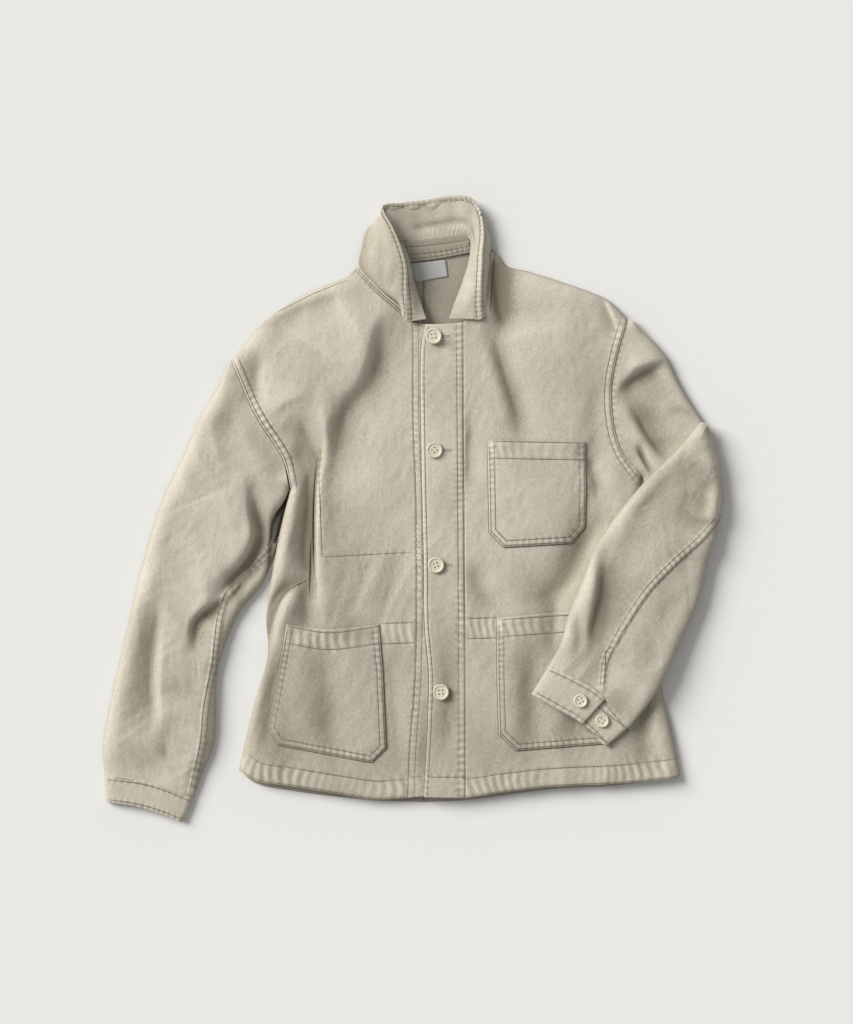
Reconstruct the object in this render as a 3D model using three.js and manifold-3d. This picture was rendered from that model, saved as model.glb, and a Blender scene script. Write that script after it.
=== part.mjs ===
// A chore jacket laid flat on its back, buttoned, with its left forearm folded over the front.
// Millimetres. +X is to the right of someone looking down at it, +Y towards the collar, +Z up.
// Right and left in names are the wearer's. Every cut piece of cloth is a solid of its own.
import * as THREE from 'three';
import { mergeVertices } from 'three/addons/utils/BufferGeometryUtils.js';
import Module from 'manifold-3d';

const wasm = await Module();
wasm.setup();

// Driving dimensions
const WALL = 2; // heavy twill with its seam allowances
const SEAM_GAP = 0.3; // between pieces that are sewn together
const AIR = 9; // how far the fronts and sleeve tops stand over the layer below
const EDGE_ROLL = 17; // how far in from a side the cloth has risen to its full height
const LAP_RISE = 3; // the left front lies on the right front's button band
const FOREARM_FLOOR = 19; // the folded forearm lies on the front and the pocket
const FOREARM_AIR = 7;
const FOREARM_DROOP = 7; // past the side seam the forearm hangs lower
const DROOP = { beyond: 4, from: -25, over: 40 }; // where that starts, and the length it takes
const BUTTON = { across: 20, thick: 3.2, rim: 2.2, dish: 0.8, hole: 2, pitch: 4.4 };
const CUFF_BUTTON_ACROSS = 17;
const LABEL_WALL = 1;
const STAND_SLOPE = 0.13; // the collar stand rises from the back's neck edge
const FOOT_REACH = 8; // the collar's outer foot clears the cloth within this distance
const COLLAR_BELLY = { outer: 1.5, inner: 0.8 }; // how far the collar's two sides bulge
const COLLAR_MITRE = 4; // the collar's folded edge is solid for up to this many walls
const COLLAR_STEPS = 44;
const SLOPE_STEP = 0.02; // share of a cuff's length that its direction is measured over
const EDGE_STEP = 12; // spacing of the points that distances to an edge are measured from
const CUTTER_HIGH = 60; // more than anything that a pocket's outline is cut from
const CELL = 19; // size of the facets that the cloth is divided into
const LAY_CENTRE = { x: 0.6, y: -1.5 }; // middle of the laid jacket in the outlines' own frame

const TWILL = { color: 0xc1b9a6, roughness: 0.92, metalness: 0 };
const TWILL_INSIDE = { color: 0xa79f8b, roughness: 0.95, metalness: 0 };
const LABEL_CLOTH = { color: 0xbab7b2, roughness: 0.8, metalness: 0 };
const BUTTON_RESIN = { color: 0xd8cfb8, roughness: 0.45, metalness: 0 };

// Outlines, as points [x, y] that smooth lines run through
const rightShoulder = [
  [-225, 184], [-209, 204], [-192, 225], [-166, 247], [-127, 270], [-81, 289], [-66, 300],
];
const rightNeck = [[-66, 300], [-39, 272], [-12, 249], [1, 231]];
const rightArmhole = [[-225, 184], [-202, 130], [-186, 101], [-171, 79], [-160, 59], [-152, 24]];
const rightSide = [
  [-152, 24], [-158, 0], [-168, -44], [-174, -79], [-182, -135], [-180, -182], [-199, -252], [-216, -327],
];
const buttonBandSeam = [[1, 231], [1, 110], [4, 20], [5, -140], [3, -220], [-3, -300], [-5, -361]];
const buttonBandEdge = [[44, 227], [45, 60], [45, -150], [44, -356]];
const rightHem = [[-216, -327], [-197, -339], [-150, -347], [-94, -356], [-47, -363], [-5, -361]];
const frontEdge = [[17, 229], [12, 202], [12, 72], [15, -71], [16, -147], [21, -205], [20, -262], [15, -360]];
const holeBandSeam = [[64, 219], [65, 72], [66, -71], [67, -240], [67, -361]];
const bandEnds = {
  buttonTop: [[1, 231], [22, 229], [44, 227]],
  buttonBottom: [[-5, -361], [20, -359], [44, -356]],
  holeTop: [[17, 229], [40, 224], [64, 219]],
  holeBottom: [[15, -360], [40, -361], [67, -361]],
};
const leftNeck = [[64, 219], [86, 252], [97, 300], [101, 322]];
const leftShoulder = [[101, 322], [117, 303], [147, 295], [179, 285], [222, 270], [244, 260], [269, 236]];
const leftArmhole = [[269, 236], [257, 196], [249, 156], [249, 120], [255, 87], [265, 64], [287, 36]];
const leftSide = [[287, 36], [290, 0], [297, -70], [303, -150], [311, -222], [324, -280], [335, -335]];
const leftHem = [[67, -361], [120, -353], [176, -347], [260, -343], [335, -335]];
const backNeck = [[-66, 300], [-36, 310], [14, 318], [70, 325], [101, 322]];
const centreBack = [[14, 318], [14, 0], [15, -367]];
const backHemRight = [[-216, -327], [-197, -343], [-150, -353], [-47, -365], [15, -367]];
const backHemLeft = [[15, -367], [67, -365], [176, -351], [260, -346], [335, -335]];

const rightSleeveOuter = [
  [-226, 183], [-246, 146], [-266, 111], [-285, 67], [-314, 5], [-340, -83], [-353, -138],
  [-374, -230], [-386, -300], [-383, -333],
];
const rightSleeveInner = [
  [-153, 23], [-161, 6], [-174, -14], [-178, -44], [-181, -79], [-188, -95], [-214, -127], [-226, -150],
  [-244, -205], [-246, -268], [-249, -299], [-261, -327], [-274, -361],
];
const rightCuffSeam = [[-383, -334], [-326, -342], [-274, -362]];
const rightCuffHem = [[-381, -367], [-345, -372], [-311, -382], [-287, -392]];

const leftUpperOuter = [
  [271.2, 236.6], [281, 228], [317, 189], [329, 164], [346, 134], [362, 110], [376, 86],
  [384, 52], [387, 21], [384, -9],
];
const leftSleeveHead = leftArmhole.map(([x, y]) => [x + (y < 75 ? 5 : y < 100 ? 3 : 1.2), y]);
const leftUpperTop = [[270.2, 236], [270.7, 236.3], [271.2, 236.6]];
const leftUpperEnd = [[299, 12], [316, -6], [338, -16], [362, -22], [376, -20], [384, -9]];
const foreTop = [[359, 107], [366, 105], [371, 93]];
const foreFold = [
  [359, 107], [331, 74], [295, 39], [262, 1], [230, -45], [212, -89], [194, -134], [184, -170], [171, -194],
];
const foreOuter = [
  [371, 93], [383, 52], [387, 21], [384, -9], [367, -67], [355, -119], [334, -165],
  [314, -209], [299, -236], [271, -271],
];
const foreEnd = [[171, -194], [203, -209], [236, -229], [254, -250], [271, -271]];
const leftCuffSeam = [[169.5, -195.5], [203, -211], [235, -230.5], [253, -251.5], [269.5, -272]];
const leftCuffHem = [[148, -231], [180, -249], [206, -264], [222, -278], [241, -297]];

// Patch pockets lie on the fronts, and their outlines are cut with straight edges
const chestPocket = [[94, 84], [216, 82], [216, -25], [199, -44], [114, -49], [96, -30]];
const rightHipPocket = [
  [-156, -145], [-107, -151], [-41, -145], [-36, -205], [-32, -299], [-50, -317], [-168, -295], [-180, -274],
];
const leftHipPocket = [
  [106, -137], [196, -128], [256, -126], [262, -200], [268, -278], [246, -293], [130, -302], [108, -281],
];
const neckLabel = { left: [[-5, 305], [4, 282]], right: [[42, 310], [45, 289]] };
const stand = {
  top: [[-15, 333], [25, 337], [70, 342]],
  bottom: [[-8, 307], [30, 311], [74, 319]],
};

// Main folds: a path over the cloth, how wide and how deep. A negative depth is a ridge.
const folds = [
  {
    on: 'right front', wide: 15, deep: 3.6,
    path: [[-28, 257], [-45, 206], [-65, 150], [-87, 127], [-100, 103]],
  },
  { on: 'right front', path: [[-112, 133], [-108, 119], [-109, 87], [-112, 60]], wide: 9, deep: -2.4 },
  { on: 'right front', path: [[-121, 101], [-119, 57], [-125, 12], [-127, -91]], wide: 12, deep: 2.6 },
  { on: 'right front', path: [[-139, -94], [-160, -104], [-172, -127]], wide: 12, deep: 2.4 },
  { on: 'right front', path: [[-92, 251], [-130, 238], [-171, 221]], wide: 16, deep: 2.2 },
  { on: 'left front', path: [[92, 251], [106, 211], [127, 134], [140, 95]], wide: 14, deep: 3.4 },
  { on: 'left front', path: [[108, 318], [112, 280], [128, 225]], wide: 16, deep: 3.2 },
  { on: 'left front', path: [[232, -4], [202, -67], [176, -95]], wide: 13, deep: 2 },
  {
    on: 'right sleeve', wide: 14, deep: 3.6,
    path: [[-180, 41], [-199, 8], [-195, -23], [-222, -87], [-256, -116], [-272, -137]],
  },
  { on: 'right sleeve', path: [[-211, 146], [-230, 99]], wide: 15, deep: 2.4 },
  { on: 'right sleeve', path: [[-312, -147], [-332, -201], [-338, -235], [-331, -279]], wide: 13, deep: 3.2 },
  { on: 'left sleeve', path: [[312, 185], [289, 171], [261, 149]], wide: 12, deep: 3 },
  { on: 'left sleeve', path: [[282, 120], [296, 92], [312, 69]], wide: 11, deep: 3 },
  { on: 'left forearm', path: [[324, 47], [290, 2], [262, -50]], wide: 15, deep: 2.2 },
  { on: 'left forearm', path: [[240, -79], [237, -109], [222, -170]], wide: 10, deep: 2.4 },
];

// The collar stands up like a tent: an outer foot at the neck seam, the stitched edge, an inner foot
const collarStations = [
  { outer: [-13, 240], edge: [-6, 231], edgeUp: 19, inner: [18, 235], innerUp: 15.5 },
  { outer: [-17, 254], edge: [-6, 250], edgeUp: 23, inner: [12, 254], innerUp: 13 },
  { outer: [-41, 274], edge: [-6.5, 275], edgeUp: 27, inner: [4, 280], innerUp: 9 },
  { outer: [-65, 300], edge: [-7, 300], edgeUp: 30, inner: [-3, 310], innerUp: 10.6 },
  { outer: [-63, 324], edge: [-14, 325], edgeUp: 31, inner: [-9, 326], innerUp: 11.2 },
  { outer: [-57, 345], edge: [-24, 349], edgeUp: 29, inner: [-13, 337], innerUp: 11.6 },
  { outer: [-43, 357], edge: [-36, 374], edgeUp: 23, inner: [-12, 340], innerUp: 11.6 },
  { outer: [-14, 364], edge: [-12, 380], edgeUp: 17, inner: [-2, 340], innerUp: 11.2 },
  { outer: [20, 366], edge: [18, 384], edgeUp: 16, inner: [18, 340], innerUp: 11.2 },
  { outer: [50, 368], edge: [50, 389], edgeUp: 17, inner: [40, 342], innerUp: 11.2 },
  { outer: [77, 364], edge: [74, 386], edgeUp: 20, inner: [60, 345], innerUp: 11.6 },
  { outer: [92, 351], edge: [85, 369], edgeUp: 22, inner: [70, 341], innerUp: 11.6 },
  { outer: [99, 332], edge: [88, 345], edgeUp: 23, inner: [73, 329], innerUp: 11.2 },
  { outer: [98, 308], edge: [86, 316], edgeUp: 23, inner: [70, 306], innerUp: 10.6 },
  { outer: [94, 280], edge: [85, 285], edgeUp: 21, inner: [62, 280], innerUp: 14 },
  { outer: [92, 256], edge: [84.5, 256], edgeUp: 20, inner: [52, 253], innerUp: 17 },
  { outer: [92, 243], edge: [86, 234], edgeUp: 18.5, inner: [46, 235], innerUp: 17.5 },
];

// Cuffs go round in a flattened loop. Each turn is the middle of a half turn, its bulge and its two heights.
const cuffTurns = {
  right: [
    { at: 0.96, bulge: 0.035, from: 1, to: 9, steps: 4 },
    { at: 0.04, bulge: -0.035, from: 9, to: 1, steps: 4 },
  ],
  left: [
    { at: 0.05, bulge: -0.04, from: 27.6, to: 20.2, steps: 6 },
    { at: 0.96, bulge: 0.035, from: 20.2, to: 24, steps: 4 },
  ],
};

// Where the buttons are sewn
const frontButtons = [[27, 214], [28, 72], [30, -71], [36, -229]];
const cuffButtons = [[209, -239], [236, -264]];

// Lists of points: backwards, moved, and one after the other
const reversed = (points) => [...points].reverse();
const shifted = (points, dx, dy = 0) => points.map(([x, y]) => [x + dx, y + dy]);
const joined = (...lines) => lines.flatMap((line, i) => (i ? line.slice(1) : line));

// A smooth line through the points, at a share t of its length
function smooth(points) {
  const curve = new THREE.CatmullRomCurve3(
    points.map(([x, y, z = 0]) => new THREE.Vector3(x, y, z)), false, 'centripetal');
  return (t) => curve.getPointAt(Math.min(Math.max(t, 0), 1));
}

// The same line as a list of points about step apart
function sampled(points, step = CELL) {
  const at = smooth(points);
  let length = 0;
  for (let i = 1; i < points.length; i++) {
    length += Math.hypot(points[i][0] - points[i - 1][0], points[i][1] - points[i - 1][1]);
  }
  const steps = Math.max(2, Math.round(length / step));
  return Array.from({ length: steps + 1 }, (_, i) => {
    const p = at(i / steps);
    return [p.x, p.y];
  });
}

// The point of a smooth line that belongs to a whole or part row of its table
function pointOfRow(line, rows, place) {
  const lengths = [0];
  for (let i = 1; i < rows.length; i++) {
    lengths.push(lengths[i - 1] + Math.hypot(rows[i][0] - rows[i - 1][0], rows[i][1] - rows[i - 1][1]));
  }
  const i = Math.min(Math.floor(place), rows.length - 2);
  const along = lengths[i] + (place - i) * (lengths[i + 1] - lengths[i]);
  return line(along / lengths[lengths.length - 1]);
}

// How far [x, y] is from a line of points, and how far along it the nearest place is, from 0 to 1
function nearest(points, x, y) {
  let best = Infinity;
  let along = 0;
  for (let i = 1; i < points.length; i++) {
    const [ax, ay] = points[i - 1];
    const [bx, by] = points[i];
    const share = ((x - ax) * (bx - ax) + (y - ay) * (by - ay)) / ((bx - ax) ** 2 + (by - ay) ** 2);
    const t = Math.min(Math.max(share, 0), 1);
    const d = Math.hypot(x - ax - t * (bx - ax), y - ay - t * (by - ay));
    if (d < best) {
      best = d;
      along = (i - 1 + t) / (points.length - 1);
    }
  }
  return { away: best, along };
}

// Cloth that rolls down to 0 at the nearest of its edges and is at 1 a little way in
const edgesOf = (...lines) => lines.map((points) => sampled(points, EDGE_STEP));
function rolled(edges, x, y) {
  const away = Math.min(...edges.map((edge) => nearest(edge, x, y).away));
  return Math.sqrt(1 - (1 - Math.min(away / EDGE_ROLL, 1)) ** 2);
}

// The sum of the folds on one part of the jacket, each fading out at its ends
function foldsOn(part) {
  const rows = folds.filter((fold) => fold.on === part);
  return (x, y) => rows.reduce((sum, { path, wide, deep }) => {
    const { away, along } = nearest(path, x, y);
    const ends = Math.min(1, 5 * along + 0.3, 5 * (1 - along) + 0.3);
    return sum - deep * ends * Math.exp(-((away / wide) ** 2));
  }, 0);
}

// Points of a cloth piece between its four edges, u from left to right and v from top to bottom
function between({ left, right, top, bottom }) {
  const [l, r, t, b] = [left, right, top, bottom].map(smooth);
  return (u, v) => {
    const p = l(v).multiplyScalar(1 - u).addScaledVector(r(v), u);
    p.addScaledVector(t(u), 1 - v).addScaledVector(b(u), v);
    p.addScaledVector(l(0), -(1 - u) * (1 - v)).addScaledVector(r(0), -u * (1 - v));
    return p.addScaledVector(l(1), -(1 - u) * v).addScaledVector(r(1), -u * v);
  };
}

// A closed solid from two like grids of points, the upper one seen from above
function closedGrid(upper, lower) {
  const rows = upper.length;
  const columns = upper[0].length;
  const positions = [...upper.flat(), ...lower.flat()].flat();
  const index = [];
  const quad = (a, b, c, d) => index.push(a, b, c, a, c, d);
  const top = (i, j) => i * columns + j;
  const low = (i, j) => rows * columns + i * columns + j;
  for (let i = 0; i + 1 < rows; i++) {
    for (let j = 0; j + 1 < columns; j++) {
      quad(top(i, j), top(i + 1, j), top(i + 1, j + 1), top(i, j + 1));
      quad(low(i, j), low(i, j + 1), low(i + 1, j + 1), low(i + 1, j));
    }
    const e = columns - 1;
    quad(top(i, 0), low(i, 0), low(i + 1, 0), top(i + 1, 0));
    quad(top(i, e), top(i + 1, e), low(i + 1, e), low(i, e));
  }
  for (let j = 0; j + 1 < columns; j++) {
    const e = rows - 1;
    quad(top(0, j), top(0, j + 1), low(0, j + 1), low(0, j));
    quad(top(e, j), low(e, j), low(e, j + 1), top(e, j + 1));
  }
  const geometry = new THREE.BufferGeometry();
  geometry.setAttribute('position', new THREE.Float32BufferAttribute(positions, 3));
  geometry.setIndex(index);
  return geometry;
}

// A cloth piece whose underside is at height(x, y)
function clothPiece(edges, height, columns, rows, wall = WALL) {
  const at = between(edges);
  const grid = (lift) => Array.from({ length: rows + 1 }, (_, i) =>
    Array.from({ length: columns + 1 }, (_, j) => {
      const p = at(j / columns, i / rows);
      return [p.x, p.y, height(p.x, p.y) + lift];
    }));
  return closedGrid(grid(wall), grid(0));
}

// A cloth piece that lies flat on the surface below, cut to an outline
function flatPiece(outline, wall = WALL) {
  const shape = new THREE.Shape(outline.map(([x, y]) => new THREE.Vector2(x, y)));
  return new THREE.ExtrudeGeometry(shape, { depth: wall, bevelEnabled: false });
}

// Solids for joining and cutting, and back again
function solid(geometry) {
  const plain = geometry.index ? geometry.toNonIndexed() : geometry.clone();
  plain.deleteAttribute('normal');
  plain.deleteAttribute('uv');
  const merged = mergeVertices(plain, 1e-3);
  return new wasm.Manifold(new wasm.Mesh({
    numProp: 3,
    vertProperties: merged.getAttribute('position').array,
    triVerts: new Uint32Array(merged.index.array),
  }));
}

function geometryOf(made) {
  const { vertProperties, triVerts } = made.getMesh();
  const geometry = new THREE.BufferGeometry();
  geometry.setAttribute('position', new THREE.Float32BufferAttribute(vertProperties, 3));
  geometry.setIndex(Array.from(triVerts));
  return geometry;
}

// A pocket has the form of the front that it lies on, moved out and cut to its own outline
function patchOn(front, outline) {
  const cutter = flatPiece(outline, CUTTER_HIGH);
  const raised = front.clone().translate(0, 0, WALL + SEAM_GAP);
  return geometryOf(solid(raised).intersect(solid(cutter)));
}

// The highest point of some solids over [x, y], or -Infinity beside them
function topOver(geometries, x, y) {
  let best = -Infinity;
  for (const geometry of geometries) {
    const p = geometry.getAttribute('position');
    const index = geometry.index;
    for (let i = 0; i < index.count; i += 3) {
      const [a, b, c] = [index.getX(i), index.getX(i + 1), index.getX(i + 2)];
      const [ax, ay, bx, by] = [p.getX(a), p.getY(a), p.getX(b), p.getY(b)];
      const [cx, cy] = [p.getX(c), p.getY(c)];
      const area = (bx - ax) * (cy - ay) - (cx - ax) * (by - ay);
      if (area < 1e-6) continue;
      const s = ((bx - x) * (cy - y) - (cx - x) * (by - y)) / area;
      const t = ((cx - x) * (ay - y) - (ax - x) * (cy - y)) / area;
      if (s < 0 || t < 0 || s + t > 1) continue;
      best = Math.max(best, s * p.getZ(a) + t * p.getZ(b) + (1 - s - t) * p.getZ(c));
    }
  }
  return best;
}

// The highest point of some solids within a circle
function topWithin(geometries, x, y, radius) {
  let best = topOver(geometries, x, y);
  for (let i = 0; i < 12; i++) {
    const angle = (i * Math.PI) / 6;
    for (const r of [radius / 2, radius]) {
      best = Math.max(best, topOver(geometries, x + r * Math.cos(angle), y + r * Math.sin(angle)));
    }
  }
  return best;
}

// A tent of cloth swept along stations: each is a line [outer foot, middle, edge, middle, inner foot].
// The lower skin is a wall in from the upper one, measured in the station's own upright plane.
function tentWall(stations) {
  const lower = stations.map((line) => {
    const [first, last] = [line[0], line[line.length - 1]];
    const reach = Math.hypot(last[0] - first[0], last[1] - first[1]);
    const level = [(last[0] - first[0]) / reach, (last[1] - first[1]) / reach];
    const out = (x, y) => (x - first[0]) * level[0] + (y - first[1]) * level[1];
    const flat = line.map(([x, y, z]) => new THREE.Vector2(out(x, y), z));
    const inwards = flat.slice(1).map((p, i) => {
      const run = p.clone().sub(flat[i]).normalize();
      return new THREE.Vector2(run.y, -run.x);
    });
    return line.map(([x, y, z], i) => {
      const before = inwards[Math.max(i - 1, 0)];
      const after = inwards[Math.min(i, inwards.length - 1)];
      const both = before.clone().add(after);
      const length = Math.max(both.length(), 1e-3);
      const size = Math.min(2 / length ** 2, COLLAR_MITRE / length);
      both.multiplyScalar(size * WALL);
      return [x + level[0] * both.x, y + level[1] * both.x, z + both.y];
    });
  });
  return closedGrid(stations, lower);
}

// A cuff: a band that goes round in a flattened loop, given as [share along, height], between two lines
function cuffLoop(seam, hem, loop, widthSteps) {
  const [s, h] = [smooth(seam), smooth(hem)];
  const along = (share, across) => {
    const beyond = share - Math.min(Math.max(share, 0), 1);
    const p = s(share).lerp(h(share), across);
    const [before, after] = [Math.max(share - SLOPE_STEP, 0), Math.min(share + SLOPE_STEP, 1)];
    const slope = s(after).lerp(h(after), across).sub(s(before).lerp(h(before), across));
    slope.multiplyScalar(1 / (after - before));
    return { p: p.addScaledVector(slope, beyond), slope };
  };
  const wallSide = (side) => Array.from({ length: widthSteps + 1 }, (_, i) =>
    loop.map(([share, up], k) => {
      const { p, slope } = along(share, i / widthSteps);
      const before = loop[Math.max(k - 1, 0)];
      const after = loop[Math.min(k + 1, loop.length - 1)];
      const run = (after[0] - before[0]) * slope.length();
      const rise = after[1] - before[1];
      const half = (side * WALL) / 2 / Math.hypot(run, rise);
      p.addScaledVector(slope.normalize(), -rise * half);
      return [p.x, p.y, up + run * half];
    }));
  return closedGrid(wallSide(1), wallSide(-1));
}

// A half turn of a loop at one end, from one height to another, bulging to the left or right
function halfTurn({ at, bulge, from, to, steps }) {
  return Array.from({ length: steps + 1 }, (_, i) => {
    const angle = (Math.PI * i) / steps;
    return [at + bulge * Math.sin(angle), from + (to - from) * (1 - Math.cos(angle)) / 2];
  });
}

// A four-hole button with a raised rim
function button(across) {
  const { thick, rim, dish, hole, pitch } = BUTTON;
  const r = across / 2;
  const profile = [
    [0, 0], [r - 1.2, 0], [r, 1], [r, thick - 1], [r - 0.7, thick], [r - rim, thick],
    [r - rim - 0.9, thick - dish], [0, thick - dish],
  ].map(([x, y]) => new THREE.Vector2(x, y));
  const disc = new THREE.LatheGeometry(profile, 20).rotateX(Math.PI / 2);
  let made = solid(disc);
  for (const [sx, sy] of [[1, 1], [1, -1], [-1, 1], [-1, -1]]) {
    const drill = new THREE.CylinderGeometry(hole / 2, hole / 2, 3 * thick, 6).rotateX(Math.PI / 2);
    drill.translate((sx * pitch) / 2, (sy * pitch) / 2, 0);
    made = made.subtract(solid(drill));
  }
  return geometryOf(made);
}

const jacket = new THREE.Group();
const laid = new THREE.Group();
laid.position.set(-LAY_CENTRE.x, -LAY_CENTRE.y, 0);
jacket.add(laid);

function addPiece(name, geometry, look) {
  const mesh = new THREE.Mesh(geometry, new THREE.MeshStandardMaterial(look));
  mesh.name = name;
  laid.add(mesh);
  return geometry;
}

// Heights of the body: the fronts roll down to the back at the shoulders and sides
const bodyEdges = edgesOf(rightShoulder, rightSide, leftShoulder, leftSide);
const rightFolds = foldsOn('right front');
const leftFolds = foldsOn('left front');
const onBack = WALL + SEAM_GAP;
const rightFrontUp = (x, y) => onBack + (AIR + rightFolds(x, y)) * rolled(bodyEdges, x, y);
const leftFrontUp = (x, y) => onBack + (AIR + LAP_RISE + leftFolds(x, y)) * rolled(bodyEdges, x, y);

// Back, cut in two with a seam down the centre, flat on the surface below
const rightSeamEdge = shifted(centreBack, -SEAM_GAP);
addPiece('back_right', flatPiece(joined(
  sampled(rightShoulder), sampled([...backNeck.slice(0, 2), rightSeamEdge[0]]), rightSeamEdge,
  reversed(sampled([...backHemRight.slice(0, -1), rightSeamEdge.at(-1)])),
  reversed(sampled(rightSide)), reversed(sampled(rightArmhole)).slice(0, -1),
)), TWILL_INSIDE);
addPiece('back_left', flatPiece(joined(
  sampled(backNeck.slice(2)), sampled(leftShoulder), sampled(leftArmhole), sampled(leftSide),
  reversed(sampled(backHemLeft)), reversed(centreBack).slice(0, -1),
)), TWILL_INSIDE);

// Fronts
const frontRight = addPiece('front_right', clothPiece({
  left: [...rightArmhole, ...rightSide.slice(1)],
  right: shifted(buttonBandSeam, -SEAM_GAP),
  top: [...rightShoulder, ...shifted(rightNeck, -SEAM_GAP).slice(1)],
  bottom: [...rightHem.slice(0, -1), ...shifted(rightHem.slice(-1), -SEAM_GAP)],
}, rightFrontUp, 12, 32), TWILL);
const frontLeft = addPiece('front_left', clothPiece({
  left: shifted(holeBandSeam, SEAM_GAP),
  right: [...leftArmhole, ...leftSide.slice(1)],
  top: [...shifted(leftNeck.slice(0, 1), SEAM_GAP), ...leftNeck.slice(1), ...leftShoulder.slice(1)],
  bottom: [...shifted(leftHem.slice(0, 1), SEAM_GAP), ...leftHem.slice(1)],
}, leftFrontUp, 14, 32), TWILL);

// Bands down the fronts: the buttonhole band laps over the button band
const buttonBand = addPiece('button_band', clothPiece({
  left: buttonBandSeam,
  right: buttonBandEdge,
  top: bandEnds.buttonTop,
  bottom: bandEnds.buttonBottom,
}, rightFrontUp, 3, 32), TWILL);
const holeBand = addPiece('buttonhole_band', clothPiece({
  left: frontEdge,
  right: holeBandSeam,
  top: bandEnds.holeTop,
  bottom: bandEnds.holeBottom,
}, leftFrontUp, 3, 32), TWILL);

// Patch pockets
addPiece('chest_pocket', patchOn(frontLeft, chestPocket), TWILL);
addPiece('hip_pocket_left', patchOn(frontLeft, leftHipPocket), TWILL);
addPiece('hip_pocket_right', patchOn(frontRight, rightHipPocket), TWILL);

// Right sleeve: an under piece flat on the surface below and a top piece over it
const rightSleeveEdges = edgesOf(rightSleeveOuter, rightSleeveInner);
const rightSleeveFolds = foldsOn('right sleeve');
const rightSleeveUp = (x, y) => onBack + (AIR + rightSleeveFolds(x, y)) * rolled(rightSleeveEdges, x, y);
const rightSleeve = {
  left: rightSleeveOuter,
  right: rightSleeveInner,
  top: [[-226, 183], ...shifted(rightArmhole.slice(1, -1), -0.6, -0.3), [-153, 23]],
  bottom: [[-383, -333], [-326, -341.4], [-274, -361]],
};
addPiece('sleeve_right_under', flatPiece(joined(
  sampled(rightSleeve.top), sampled(rightSleeve.right), reversed(sampled(rightSleeve.bottom)),
  reversed(sampled(rightSleeve.left)).slice(0, -1),
)), TWILL);
addPiece('sleeve_right_top', clothPiece(rightSleeve, rightSleeveUp, 7, 26), TWILL);

// Left sleeve, its upper arm: an under piece and a top piece that goes in below the folded forearm
const leftUpperEdges = edgesOf(leftUpperOuter, leftUpperEnd);
const leftUpperFolds = foldsOn('left sleeve');
const leftUpperUp = (x, y) => onBack + (AIR + leftUpperFolds(x, y)) * rolled(leftUpperEdges, x, y);
addPiece('sleeve_left_under', flatPiece(joined(
  sampled(leftUpperOuter), reversed(sampled([leftSleeveHead.at(-1), ...leftUpperEnd])),
  reversed(sampled(leftSleeveHead)),
)), TWILL);
addPiece('sleeve_left_top', clothPiece({
  left: [...leftSleeveHead, leftUpperEnd[0]],
  right: leftUpperOuter,
  top: leftUpperTop,
  bottom: leftUpperEnd,
}, leftUpperUp, 8, 14), TWILL);

// Left sleeve, its forearm: folded back over the upper arm, the front and the pocket
const foreEdges = edgesOf(foreFold, foreOuter);
const foreFolds = foldsOn('left forearm');
const sideLine = sampled(leftSide, EDGE_STEP);
const foreFloor = (x, y) => {
  const off = (place) => Math.abs(place[1] - y);
  const [side] = sideLine.reduce((best, place) => (off(place) < off(best) ? place : best));
  const past = Math.min(Math.max((x - side - DROOP.beyond) / DROOP.over, 0), 1);
  const below = Math.min(Math.max((DROOP.from - y) / DROOP.over, 0), 1);
  return FOREARM_FLOOR - FOREARM_DROOP * past * below;
};
const foreTopUp = (x, y) =>
  foreFloor(x, y) + onBack + (FOREARM_AIR + foreFolds(x, y)) * rolled(foreEdges, x, y);
const forearm = { left: foreFold, right: foreOuter, top: foreTop, bottom: foreEnd };
addPiece('forearm_left_under', clothPiece(forearm, foreFloor, 7, 18), TWILL);
addPiece('forearm_left_top', clothPiece(forearm, foreTopUp, 7, 22), TWILL);

// Cuffs
const rightLoop = [[0.5, 1], ...cuffTurns.right.flatMap(halfTurn), [0.46, 1]];
addPiece('cuff_right', cuffLoop(rightCuffSeam, rightCuffHem, rightLoop, 2), TWILL);
const leftLoop = [
  [0.62, 27.6], [0.35, 27.6], ...halfTurn(cuffTurns.left[0]), [0.35, 20.2], [0.65, 20.2],
  ...halfTurn(cuffTurns.left[1]), [0.7, 23.9], [0.5, 23.9],
];
const leftCuff = addPiece('cuff_left', cuffLoop(leftCuffSeam, leftCuffHem, leftLoop, 2), TWILL);

// Neck: the blank label on the back, the stand over its upper edge, and the collar
addPiece('neck_label', clothPiece({
  ...neckLabel,
  top: [neckLabel.left[0], neckLabel.right[0]],
  bottom: [neckLabel.left[1], neckLabel.right[1]],
}, () => onBack, 2, 1, LABEL_WALL), LABEL_CLOTH);
const [[footX, footY], , [footEndX, footEndY]] = stand.bottom;
const standFoot = (x) => footY + ((x - footX) * (footEndY - footY)) / (footEndX - footX);
const standUp = (x, y) => onBack + Math.max(0, STAND_SLOPE * (y - standFoot(x)));
addPiece('collar_stand', clothPiece({
  left: [stand.top[0], stand.bottom[0]],
  right: [stand.top[2], stand.bottom[2]],
  ...stand,
}, standUp, 5, 2), TWILL_INSIDE);

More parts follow.
